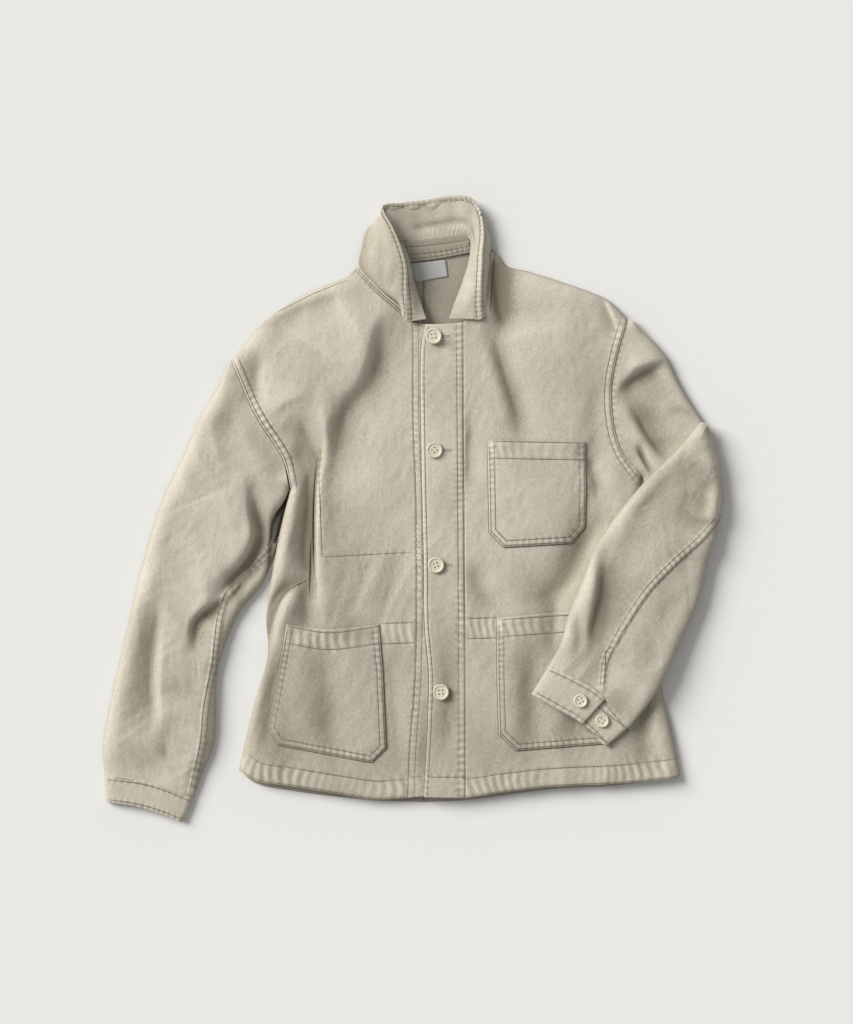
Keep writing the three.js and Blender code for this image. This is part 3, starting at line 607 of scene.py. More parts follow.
def painted_shade_lines(name, lines, height, lift=WALL, half=0.72, material=None, taper=0.35):
    """Narrow creases painted with shade along rows of stitches, in folds and beside edges, each a strip
    pressed into the cloth.
    """
    points, faces = [], []
    for line in lines:
        line = spaced(straight(line), 2.0)
        run = np.gradient(line[:, :2], axis=0)
        run /= np.linalg.norm(run, axis=1)[:, None]
        wide = half * np.clip(np.sin(math.pi * np.linspace(0, 1, len(line))), 0.001, 1)[:, None] ** taper
        across = wide * np.stack([-run[:, 1], run[:, 0]], 1)
        z = (line[:, 2] if height is None else height(line[:, 0], line[:, 1])[0]) + lift
        line = line[:, :2]
        start = len(points)
        for (x, y), (ax, ay), up in zip(line, across, z):
            points += [(x + ax, y + ay, up + 0.2), (x - ax, y - ay, up + 0.2), (x, y, up - 0.4)]
        for k in range(start, len(points) - 3, 3):
            faces += [(k + a, k + b, k + 3 + b, k + 3 + a) for a, b in ((0, 1), (1, 2), (2, 0))]
        faces += [(start, start + 2, start + 1), (len(points) - 3, len(points) - 2, len(points) - 1)]
    return made_of(name, points, faces, material or in_shade)


def stitching(name, strips, height, lift=WALL, pitch=3.1, thick=0.26):
    """The stitch rows of some strips: spindles of thread, each row pulled into a narrow crease painted with
    shade.
    """
    rows = []
    for points, half, *_ in strips:
        rows += [moved(points, half), moved(points, -half)] if half else [points]
    # Painted shade along each row of stitches.
    painted_shade_lines("needle_" + name, rows, height, lift)
    points, faces = [], []
    shape = [(-1, 0, 0), (0, -1, 0.1), (0, 0, 1), (0, 1, 0.1), (0, 0, -1), (1, 0, 0)]
    skin = [(0, 1, 2), (0, 2, 3), (0, 3, 4), (0, 4, 1), (5, 2, 1), (5, 3, 2), (5, 4, 3), (5, 1, 4)]
    for row in rows:
        line = straight(row)
        length = np.linalg.norm(np.diff(row, axis=0), axis=1).sum()
        mids = line((np.arange(int(length / pitch)) + 0.5) * pitch / length)
        ahead = line((np.arange(int(length / pitch)) + 0.6) * pitch / length) - mids
        ahead /= np.linalg.norm(ahead, axis=1)[:, None]
        z = height(mids[:, 0], mids[:, 1])[0] + lift + 0.1
        for (x, y), (dx, dy), up in zip(mids, ahead, z):
            start = len(points)
            for a, b, c in shape:
                points.append((x + dx * a * 1.1 - dy * b * thick,
                               y + dy * a * 1.1 + dx * b * thick, up + c * thick))
            faces.extend(tuple(start + k for k in f) for f in skin)
    return made_of(name, points, faces, thread)


thread = dyed_twill("cotton_thread", (0.56, 0.51, 0.41), (0.44, 0.40, 0.315), 0.1)
# Painted shade: darker copies of the twill for strips laid along stitch lines, in folds and in the deepest
# folds.
in_shade = dyed_twill("stone_twill_painted_shade_in_stitch_line", (0.33, 0.295, 0.225), (0.22, 0.195, 0.145), 0.1)
folded_shade = dyed_twill("stone_twill_painted_shade_in_fold", (0.20, 0.175, 0.13), (0.14, 0.122, 0.09), 0.2)
deep_shade = dyed_twill("stone_twill_painted_shade_in_deep_fold", (0.085, 0.074, 0.055), (0.055, 0.048, 0.036), 0.1)
stitching("stitches_front_right", right_rows[:-1], right_front_up)
stitching("stitches_front_left", left_rows[:-1], left_front_up)
# Painted shade: dark strips along the deepest folds of the right front, beside the collar on the left front
# and along the right shoulder seam.
painted_shade_lines("painted_shade_fold_line_right_front",
           [drawn([(-119, 62), (-122.5, 20), (-123.5, -30), (-122.5, -70), (-119, -100)])],
           right_front_up, half=1.1, material=deep_shade, taper=0.8)
painted_shade_lines("painted_shade_deep_in_fold_right_front", [drawn([(-126, -34), (-128, -74), (-128, -112)]),
                                        drawn([(-131, -90), (-148, -99), (-162, -112), (-170, -128)])],
           right_front_up, half=1.7, material=folded_shade, taper=1)
painted_shade_lines("painted_shade_beside_collar_left_front", [drawn([(103, 318), (100, 290), (98, 262), (97, 244)])],
           left_front_up, half=1.6, material=folded_shade, taper=0.8)
painted_shade_lines("painted_shade_shoulder_seam_right", [[(-167, 245), (-125, 266.5), (-81, 284)]], right_front_up, half=0.55)

# The bands down the front edges.
# Each is a doubled strip of the same twill, joined to its front with a seam. The left one
# has the buttonholes and laps over the right one, which carries the buttons.
front_edge = [(17, 229), (12, 202), (12, 72), (15, -71), (16, -147), (21, -205), (20, -262), (15, -360)]
band_edge = [(44, 227), (45, 60), (45, -150), (44, -356)]
hole_band_own_rows = [
    (beside(front_edge, 4), 0, 0.8, 7.5),
    (spaced(straight([(17, -335), (66, -335)])), 0, 0.7, 10),
]
button_band_own_rows = [(spaced(straight([(-3, -335), (15, -335)])), 0, 0.7, 10)]


def hole_band_up(x, y):
    # The front's seam puckers, with their painted light and shade, run onto the band.
    shared, shared_wear_and_shade = puckered(x, y, left_rows, 22)
    form, wear_and_shade = puckered(x, y, hole_band_own_rows, 31)
    edge = nearest(spaced(smooth(front_edge)), x, y)[0]
    up = front_form(x, y, AIR + LAP_RISE) + shared + form - 0.8 * np.exp(-edge / 2.0)
    return up, front_wear_and_shade(x, y, wear_and_shade + shared_wear_and_shade) + 1.2 * np.exp(-edge / 1.8)


def button_band_up(x, y):
    # The front's seam puckers, with their painted light and shade, run onto the strip.
    shared, shared_wear_and_shade = puckered(x, y, right_rows, 21)
    form, wear_and_shade = puckered(x, y, button_band_own_rows, 32)
    return front_form(x, y, AIR) + shared + form, front_wear_and_shade(x, y, wear_and_shade + shared_wear_and_shade)


button_band_piece = cut_piece("button_strip", (
    button_band_seam, band_edge, [(1, 231), (22, 229), (44, 227)], [(-5, -361), (20, -359), (44, -356)],
), button_band_up, 2.6)
finish_cloth(button_band_piece, outside_twill, "button_band")
hole_band_piece = cut_piece("buttonhole_strip", (
    front_edge, hole_band_seam, [(17, 229), (40, 229), (64, 231)], [(15, -360), (40, -361), (67, -361)],
), hole_band_up, 2.2)
finish_cloth(hole_band_piece, outside_twill, "buttonhole_band")
stitching("stitches_bands", [*hole_band_own_rows, left_rows[-1]], hole_band_up)
stitching("stitches_button_strip", [*button_band_own_rows, right_rows[-1]], button_band_up)
painted_shade_lines("front_edge_shade", [beside(front_edge, -0.9)[2:-1]], button_band_up, half=0.6)

# Three patch pockets on the fronts.
# Each is a piece of twill with a deep hem across its mouth and cut-off lower corners,
# turned in all round and sewn on with two rows of stitches. Its mouth stands open a little.
pockets = [
    # node, top, right, bottom, left, mouth hem, flat size, area
    ("chest_pocket", [(94, 84), (155, 83), (216, 82)], [(216, 82), (217, 30), (216, -25)],
     [(96, -30), (114, -49), (199, -44), (216, -25)], [(94, 84), (95, 30), (96, -30)],
     [(96, 62), (155, 61), (214, 60)], (0.122, 0.135), 0.0155, left_front_up),
    ("hip_pocket_right", [(-156, -145), (-107, -151), (-41, -145)], [(-41, -145), (-36, -205), (-32, -299)],
     [(-180, -274), (-168, -295), (-50, -317), (-32, -299)], [(-156, -145), (-168, -210), (-180, -274)],
     [(-158, -168), (-105, -176), (-39, -168)], (0.148, 0.172), 0.0212, right_front_up),
    ("hip_pocket_left", [(106, -137), (180, -130), (256, -126)], [(256, -126), (262, -200), (268, -278)],
     [(108, -281), (130, -302), (246, -293), (268, -278)], [(106, -137), (106, -210), (108, -281)],
     [(108, -160), (180, -155), (258, -150)], (0.162, 0.176), 0.0257, left_front_up),
]
for number, (node, top, right, bottom, left, mouth, flat, area, under) in enumerate(pockets):
    outline = np.vstack([straight(left)(np.linspace(0, 1, 30)), straight(bottom)(np.linspace(0, 1, 40))[1:],
                         straight(right)(np.linspace(0, 1, 30))[::-1][1:]])
    mouth_line = spaced(smooth(top))

    rows = [(moved(outline, 5.2)[1:-1], 2.9, 0.6, 8.0), (moved(spaced(smooth(mouth)), 10.5), 10.5, 0.6, 13)]

    def pocket_up(x, y, rows=rows, outline=outline, mouth_line=mouth_line, under=under, seed=41 + number):
        form, wear_and_shade = puckered(x, y, rows, seed)
        edge = nearest(outline, x, y)[0]
        lip = nearest(mouth_line, x, y)[0]
        base = front_form(x, y, AIR + (LAP_RISE if under is left_front_up else 0.0))
        gape = 2.2 * np.exp(-((lip / 10) ** 2)) * rolled(edge, 26)
        swell = 0.9 * ease(edge / 26)
        z = base + WALL + 0.5 + swell + gape + 0.8 * form - 0.5 * np.exp(-edge / 1.5)
        # Its colour: the front's, with its painted shade, and paler where the edges and mouth rub.
        return z, front_wear_and_shade(x, y, wear_and_shade) + 0.35 * np.exp(-edge / 1.6) + 0.3 * np.exp(-lip / 1.8)
    edges = (straight(left), straight(right), smooth(top), straight(bottom))
    piece = cut_piece("patch_" + node, edges, pocket_up, 2.1)
    finish_cloth(piece, outside_twill, node)
    stitching("stitches_" + node, rows, pocket_up)
    painted_shade_lines("shade_round_" + node, [moved(outline, -0.7)], under, half=0.6)

# The right sleeve, out to the side.
# A top piece and an under piece of twill, joined along the inner arm with a felled seam:
# two rows of stitches on a folded strip. It lies flat and is deeply creased at the elbow.
right_outer = [(-225, 184), (-246, 146), (-266, 111), (-285, 67), (-314, 5), (-340, -83), (-353, -138),
               (-374, -230), (-386, -300), (-383.3, -335)]
right_inner = [(-153, 23), (-161, 6), (-174, -14), (-178, -44), (-181, -79), (-188, -95), (-214, -127),
               (-226, -150), (-244, -205), (-246, -268), (-249, -299), (-261, -327), (-274.5, -364)]
right_felled = [(-170, -30), (-180, -52), (-195, -69), (-214, -88), (-233, -107), (-242, -135), (-246, -165),
                (-249, -191), (-255, -222), (-260, -252), (-262, -277), (-265, -299),
                (-271, -325), (-277, -352)]
right_sleeve_folds = [
    ([(-228, 54), (-211, 32), (-207, 0), (-201, -32), (-213, -66), (-238, -96), (-276, -128)], 5.0, 5, 44),
    ([(-192, 60), (-197, 22), (-193, -5), (-187, -34), (-198, -60), (-223, -88), (-245, -108), (-272, -134)],
     -10.0, 14, 9),
    ([(-218, -98), (-254, -121), (-286, -142)], 4.5, 5, 34),
    ([(-222, -110), (-256, -131), (-269, -148), (-265, -194)], -8.0, 22, 6),
    ([(-314, -84), (-321, -150), (-326, -190), (-328, -225), (-327, -262), (-333, -312)], -8.0, 7, 24),
    ([(-306, -150), (-312, -225), (-307, -290)], 3.0, 26, 6),
    ([(-330, -212), (-286, -230), (-244, -216)], -3.2, 18, 18),
    ([(-188, 172), (-218, 122), (-244, 70)], -5.5, 18, 22),
    ([(-296, -244), (-306, -290), (-313, -340)], -3.2, 14, 14),
    ([(-286, 36), (-300, -20), (-309, -90)], -2.6, 26, 20),
    ([(-160, -12), (-182, -60), (-212, -96), (-238, -140)], -4.0, 16, 4),
    ([(-248, -268), (-262, -318), (-273, -358)], -3.2, 14, 8),
]
right_sleeve_edges = [spaced(smooth(right_outer)), spaced(smooth(right_inner))]
right_sleeve_rows = [(beside(right_felled, 3), 3.0, 0.65, 8.5)]
SLEEVE_AIR = 14.5
right_felled_line = beside(right_felled, 3)
right_cuff_seam = [(-383, -334), (-326, -342), (-274, -362)]
right_cuff_line = spaced(smooth(right_cuff_seam))


def right_sleeve_up(x, y):
    away = off_edges(right_sleeve_edges, x, y)
    form, wear_and_shade = puckered(x, y, right_sleeve_rows, 51)
    waves = (0.9 * ripples(x, y, 80, 13) + 1.0 * crumpled(x, y, 74, 120, 14)
             + 0.22 * crumpled(x, y, 30, 20, 24) + 0.16 * crumpled(x, y, 17, 80, 29))
    to_cuff = nearest(right_cuff_line, x, y)[0]
    rise = SLEEVE_AIR - 7.6 * (1 - ease(to_cuff / 60)) + 1.25 * creased(x, y, right_sleeve_folds) + waves
    strip = felled(right_felled_line, x, y, 5, 1.3)
    up = ON_BACK + kept_above(0.5, rise) * rolled(away, 21) + (form + strip) * rolled(away, 5)
    at_seam = nearest(right_armhole_line, x, y)[0]
    body = front_form(x, y, AIR) - 0.4
    # Its colour has painted shade in the sunk folds and patches of painted light and shade.
    return body + (up - body) * ease(at_seam / 32), wear_and_shade + painted_fold_shade(x, y, right_sleeve_folds) + painted_shading(x, y)


def lying_flat(x, y):
    return 0.02 + 0 * x, 0 * x


right_sleeve_edges_cut = (
    right_outer, right_inner, [(-225, 184), *right_armhole[1:-1], (-153, 23)],
    [(-383.3, -335), (-326, -344), (-274.5, -364)],
)
piece = cut_piece("right_sleeve_upper_side", right_sleeve_edges_cut, right_sleeve_up, 2.1)
finish_cloth(piece, outside_twill, "sleeve_right_top")
right_lower_inner = [(-153, 23), (-157, 5), (-161, -14), (-167, -44), (-177, -72), *right_inner[5:]]
# The under piece is painted darker all over, as painted shade: it shows only in the gap below the arm and at
# the sleeve's edges.
piece = cut_piece("right_sleeve_lower_side", (right_outer, right_lower_inner, *right_sleeve_edges_cut[2:]),
                  lambda x, y: (lying_flat(x, y)[0], -2.5 + 0 * x), 6)
finish_cloth(piece, outside_twill, "sleeve_right_under")
stitching("stitches_right_sleeve", right_sleeve_rows, right_sleeve_up)
# A wide strip of painted shade in the gap between the arm and the body.
painted_shade_lines("painted_shade_below_the_arm", [drawn([(-158, 10), (-164, -10), (-168, -24), (-172, -44)], 30)],
           lambda x, y: (2.2 + 0 * x, 0), half=5.5, material=deep_shade)
# Painted shade along the right armhole seam.
painted_shade_lines("painted_shade_armhole_seam_right", [beside(right_armhole, -0.8)[1:-1]], right_sleeve_up, half=0.6)

# The left sleeve's upper arm.
# The same two pieces of twill as the other sleeve. It runs out to the elbow, where the
# forearm is folded back over it, so only a corner of it shows beside the armhole.
left_upper_outer = [(271.2, 236.6), (281, 228), (317, 189), (329, 164), (346, 134), (362, 110), (376, 86),
                    (384, 52), (387, 21), (384, -9)]
left_upper_end = [(299, 12), (316, -6), (338, -16), (362, -22), (376, -20), (384, -9)]
left_upper_folds = [
    ([(328, 196), (296, 180), (256, 172)], 4.0, 5, 20),
    ([(326, 186), (290, 166), (266, 150), (248, 120)], -8.5, 34, 7),
    ([(270, 142), (289, 101), (303, 80), (334, 50)], -8.5, 24, 6),
    ([(279, 82), (291, 57), (305, 34)], -8.0, 3.5, 3.5),
    ([(314, 128), (342, 119), (370, 106)], -3.0, 6, 8),
]
left_upper_edges = [spaced(smooth(left_upper_outer)), spaced(smooth(left_upper_end))]
left_upper_rows = [(beside(left_armhole, 3), 0, 0.4, 9)]


def left_upper_up(x, y):
    away = off_edges(left_upper_edges, x, y)
    form, wear_and_shade = puckered(x, y, left_upper_rows, 61)
    rise = AIR + 4 + 1.15 * creased(x, y, left_upper_folds) + 0.7 * crumpled(x, y, 56, 140, 15)
    up = ON_BACK + kept_above(0.5, rise) * rolled(away) + form * rolled(away, 5)
    body = front_form(x, y, AIR + LAP_RISE) - 0.4
    shoulder = ease(nearest(left_armhole_line, x, y)[0] / 26)
    # Its colour has painted shade in the sunk folds and patches of painted light and shade.
    return body + (up - body) * shoulder, wear_and_shade + painted_fold_shade(x, y, left_upper_folds) + painted_shading(x, y)


left_upper_cut = ([*left_armhole, (299, 12)], left_upper_outer,
                  [(269, 236), (270, 236.3), (271.2, 236.6)], left_upper_end)
piece = cut_piece("left_upper_sleeve_upper_side", left_upper_cut, left_upper_up, 2.1)
finish_cloth(piece, outside_twill, "sleeve_left_top")
piece = cut_piece("left_upper_sleeve_lower_side", left_upper_cut, lying_flat, 6)
finish_cloth(piece, outside_twill, "sleeve_left_under")

# The left sleeve's forearm, folded back at the elbow over the upper arm, front and pocket.
# Its back seam and the slit above the cuff lie uppermost. Beyond the side seam of the
# jacket it hangs a little lower.
FOREARM_FLOOR = 19.0
FOREARM_AIR = 10.0
fore_fold = [(359, 107), (331, 74), (295, 39), (262, 1), (230, -45), (212, -89), (194, -134), (184, -170),
             (169.5, -197)]
fore_outer = [(371, 93), (383, 52), (387, 21), (384, -9), (367, -67), (355, -119), (334, -165), (314, -209),
              (299, -236), (269.5, -274)]
fore_felled = [(384, -6), (370, -24), (355, -40), (327, -65), (294, -99), (268, -137), (249, -170),
              (240, -190),
               (236, -226)]
fore_folds = [
    ([(356, 80), (322, 40), (292, 4), (254, -66)], -3.6, 20, 14),
    ([(224, -28), (240, -72), (238, -108), (229, -150), (217, -222)], -9.0, 30, 10),
    ([(226, -48), (227, -95), (220, -135), (211, -185)], 3.0, 4, 12),
    ([(276, -70), (262, -130), (250, -176)], -3.5, 20, 22),
    ([(368, 78), (342, 20), (324, -50)], -3.2, 24, 22),
    ([(328, -94), (303, -160), (286, -220)], -3.6, 20, 20),
    ([(199, -112), (208, -166), (193, -208)], -3.6, 10, 9),
    ([(382, 60), (364, 10), (366, -40)], -4.4, 12, 14),
]
fore_edges = [spaced(smooth(fore_fold)), spaced(smooth(fore_outer))]
fore_rows = [(beside(fore_felled, 0), 3.0, 0.65, 8.5)]
fore_felled_line = spaced(smooth(fore_felled))
left_cuff_line = spaced(smooth([(171, -194), (203, -209), (236, -229), (254, -250), (271, -271)]))
elbow_line = spaced(smooth([(371, 93), (383, 52), (387, 21), (384, -9)]))
side_line = drawn(left_side, 80)


def fore_floor(x, y):
    side = np.interp(-y, -side_line[:, 1], side_line[:, 0])
    droop = 7.0 * np.clip((x - side - 4) / 40, 0, 1) * np.clip((-25 - y) / 40, 0, 1)
    elbow = 9.0 * (1 - ease(nearest(elbow_line, x, y)[0] / 60))
    floor = FOREARM_FLOOR - np.maximum(droop, elbow)
    over_arm = left_upper_up(x, y)[0] + WALL + 0.6
    inside = (y > np.interp(x, *np.array(left_upper_end).T)) & (x > 285)
    return np.where(inside, np.maximum(floor, over_arm), floor)


# Painted shade in the pleat beside the forearm's seam, at its end by the cuff and across its middle.
def fore_painted_shade(x, y):
    pleat = np.exp(-(((x - 236 - 0.12 * (y + 110)) / 9) ** 2) - ((y + 130) / 62) ** 2)
    end = np.exp(-(((x - 262) / 16) ** 2) - ((y + 246) / 18) ** 2)
    middle = np.exp(-(((x - 300) / 26) ** 2) - ((y - 20) / 46) ** 2)
    return -1.6 * pleat - 1.2 * end - 0.7 * middle


def fore_up(x, y):
    away = off_edges(fore_edges, x, y)
    form, wear_and_shade = puckered(x, y, fore_rows, 71)
    waves = (0.8 * ripples(x, y, 70, 16) + 0.9 * crumpled(x, y, 66, 55, 17)
             + 0.22 * crumpled(x, y, 28, 100, 27) + 0.16 * crumpled(x, y, 17, 50, 39))
    to_cuff = nearest(left_cuff_line, x, y)[0]
    rise = FOREARM_AIR - 5 * (1 - ease(to_cuff / 50)) + 1.15 * creased(x, y, fore_folds) + waves
    strip = felled(fore_felled_line, x, y, 4.4, 1.2)
    above = kept_above(0.5, rise) * rolled(away) + (form + strip) * rolled(away, 5)
    # Its colour has painted shade in the sunk folds and the pleat, and is a little darker all over.
    return fore_floor(x, y) + ON_BACK - 0.3 + above, wear_and_shade + painted_fold_shade(x, y, fore_folds) + fore_painted_shade(x, y) - 0.35


fore_cut = (fore_fold, fore_outer, [(359, 107), (366, 105), (371, 93)],
            [(169.5, -197), (202, -212.5), (234.5, -232.5), (252.5, -253.5), (269.5, -274)])
piece = cut_piece("left_forearm_upper_side", fore_cut, fore_up, 2.1)
finish_cloth(piece, outside_twill, "forearm_left_top")
piece = cut_piece("left_forearm_lower_side", fore_cut, lambda x, y: (fore_floor(x, y), 0 * x), 5)
finish_cloth(piece, outside_twill, "forearm_left_under")
stitching("stitches_left_forearm", fore_rows, fore_up)
# Painted shade beside the forearm's felled seam and along its slit.
painted_shade_lines("painted_shade_seam_edge_forearm",
           [beside(fore_felled[:-2], 5.2)[1:], [(247, -172), (240, -178), (239.5, -200), (237, -224)]],
           fore_up, lift=WALL + 0.35, half=0.5)

# The cuffs.
# Each is a doubled band sewn round the end of the sleeve, stitched along both edges. The
# left one is undone: its end with the buttonhole laps over the end with the second button.
cuffs = [
    # node, sleeve seam, hem, loop as (share along, height), flat size
    ("cuff_right", [(-383, -334), (-326, -342), (-274, -362)],
     [(-381, -367), (-345, -372), (-311, -382), (-287, -392)],
     [(0.5, 1), (0.96, 1), (0.995, 3), (1.0, 5), (0.985, 7.6), (0.94, 9.2), (0.7, 10.6),
      (0.5, 10.2), (0.3, 10.4),
      (0.06, 9.0), (0.01, 7), (-0.005, 5), (0.01, 2.6), (0.05, 1), (0.46, 1)], (0.226, 0.036), ["surface"]),
    ("cuff_left", [(169.5, -195.5), (203, -211), (235, -230.5), (253, -251.5), (269.5, -272)],
     [(148, -231), (180, -249), (206, -264), (222, -278), (241, -297)],
     [(0.64, 28.2), (0.5, 28.8), (0.35, 28.6), (0.12, 27.8), (0.04, 26.2), (0.01, 24), (0.04, 21.6),
      (0.1, 20.4),
      (0.35, 20.2), (0.65, 20.2), (0.95, 20.4), (0.99, 21.4), (0.99, 22.8), (0.95, 24.0),
      (0.85, 24.2), (0.6, 24.2)],
     (0.27, 0.04), ["front_left", "hip_pocket_left"]),
]
CUFF_ROUND = 110.0
CUFF_DEEP = 36.0
CUFF_STITCH = 4.0  # from each edge to its row of stitches
for node, seam, hem, loop, flat, rests_on in cuffs:
    seam_line, hem_line = smooth(seam), smooth(hem)
    rounded = drawn([(s * CUFF_ROUND, z) for s, z in loop], 150)
    share, up = rounded[:, 0] / CUFF_ROUND, rounded[:, 1]
    rise = np.gradient(up)
    run = np.gradient(rounded[:, 0])
    size = np.hypot(rise, run)
    across = np.linspace(0, 1, 18)
    puckers = np.cos(math.tau * (share * CUFF_ROUND) / 8.5 + 1.7 * np.sin(share * 9))
    skins = []
    for side in (1, -1):
        skin = []
        for t in across:
            inner = np.clip(share, 0, 1)
            p = (1 - t) * seam_line(inner) + t * hem_line(inner)
            along = (1 - t) * (seam_line(1) - seam_line(0)) + t * (hem_line(1) - hem_line(0))
            level = along / np.linalg.norm(along)
            off = (share - inner)[:, None] * along - side * WALL / 2 * (rise / size)[:, None] * level
            edge = min(t, 1 - t) * CUFF_DEEP
            draw = 0.35 * puckers * math.exp(-((edge - CUFF_STITCH) / 4.5) ** 2)
            groove = -0.45 * math.exp(-((edge - CUFF_STITCH) / 1.5) ** 2)
            z = up + side * WALL / 2 * run / size + (draw + groove) * np.sign(run / size)
            skin.append(np.column_stack([p + off, z]))
        skins.append(np.array(skin))
    edge = np.minimum(across, 1 - across)[:, None] * CUFF_DEEP
    # Paler where the edges rub, painted shade along the stitch rows, and painted light and shade on the
    # puckers beside them.
    wear_and_shade = 0.5 * np.exp(-edge / 2) - 0.8 * np.exp(-(((edge - CUFF_STITCH) / 1.6) ** 2))
    wear_and_shade = wear_and_shade + 0.4 * puckers[None, :] * np.exp(-(((edge - CUFF_STITCH) / 4) ** 2))
    # the loop runs right along its lower layer, so the outer skin there faces down
    piece = closed_cloth("band_" + node, skins[0], skins[1], wear_and_shade)
    finish_cloth(piece, outside_twill, node)
    top = (up > up.mean()) & (share > 0.03) & (share < 0.99)
    # Painted shade along both rows of stitches.
    painted_shade_lines("needle_" + node, [skins[1][k][top] for k in (2, 15)], None, 0.2, half=0.6)

# The neck: a blank woven label, the collar stand, and the collar.
# The label is sewn below the stand on the inside of the back. The collar is a doubled leaf
# with a row of stitches round its edge. It stands up on the right and turns over on the left.
label_cloth = dyed_twill("label_satin", (0.50, 0.49, 0.465), (0.455, 0.445, 0.42), 0.08)
piece = cut_piece("blank_neck_label", (
    straight([(-5, 305), (4, 282)]), straight([(42, 310), (45, 289)]),
    straight([(-5, 305), (42, 310)]), straight([(4, 282), (45, 289)]),
), lambda x, y: (ON_BACK + 0.25 * ripples(x, y, 30, 18), 0 * x), 2.5, 0.5)
finish_cloth(piece, label_cloth, "neck_label")

stand_rows = [
    (spaced(smooth([(-8, 313), (30, 317), (73, 325)])), 2.6, 0.4, 7),
    (spaced(smooth([(-12, 325), (28, 329), (71, 335)])), 0, 0.4, 7),
]


def stand_up(x, y):
    form, wear_and_shade = puckered(x, y, stand_rows, 81)
    return ON_BACK + 0.3 + np.maximum(0, 0.13 * (y - 307 - 0.14 * (x + 8))) + form + 0.5, wear_and_shade


# The stand is in the darker inside twill of painted shade.
piece = cut_piece("inner_collar_stand", (
    straight([(-15, 333), (-8, 307)]), straight([(70, 342), (74, 319)]),
    [(-15, 333), (25, 337), (70, 342)], [(-8, 307), (30, 311), (74, 319)],
), stand_up, 1.6)
finish_cloth(piece, shaded_inside_twill, "collar_stand")
stitching("stitches_stand", stand_rows, stand_up)

collar_stations = [
    # outer foot x, y, up; edge x, y, up; inner foot x, y, up
    ((-13, 240, 17), (-6, 231, 20), (18, 235, 15.5)),
    ((-17, 254, 16), (-6, 250, 24), (12, 254, 13)),
    ((-41, 274, 15), (-6.5, 275, 28), (4, 280, 9)),
    ((-65, 300, 9), (-7, 300, 31), (-3, 310, 8.4)),
    ((-63, 324, 5), (-14, 325, 32), (-9, 325, 7.4)),
    ((-57, 345, 4), (-24, 349, 30), (-14, 331, 6.6)),
    ((-43, 357, 4), (-36, 375, 24), (-13, 332, 6.6)),
    ((-14, 364, 4), (-12, 380, 14), (-2, 332, 6.6)),
    ((20, 366, 4), (18, 384, 11), (18, 334, 6.6)),
    ((50, 368, 4), (50, 389, 12), (40, 337, 6.6)),
    ((77, 364, 4), (74, 386, 13), (58, 339, 6.8)),
    ((92, 351, 5), (85, 369, 16), (69, 338, 7.4)),
    ((99, 332, 6), (88, 345, 18), (73, 328, 7.8)),
    ((98, 308, 6.5), (86, 316, 21), (70, 306, 9.2)),
    ((95, 280, 9), (85, 285, 24), (62, 280, 13)),
    ((94, 256, 12), (84.5, 256, 23), (52, 253, 16.8)),
    ((93, 243, 15), (86, 234, 21), (46, 235, 17.5)),
]


def along_rows(points, count):
    """Points on a smooth line with the same number between each pair of its table's rows."""
    p = np.array(points, float)
    ends = np.vstack([2 * p[0] - p[1], p, 2 * p[-1] - p[-2]])
    out = []
    for i in range(len(p) - 1):
        a, b, c, d = ends[i:i + 4]
        for s in np.arange(count) / count:
            out.append(0.5 * (2 * b + (c - a) * s + (2 * a - 5 * b + 4 * c - d) * s ** 2
                              + (3 * b - a - 3 * c + d) * s ** 3))
    out.append(p[-1])
    return np.array(out)


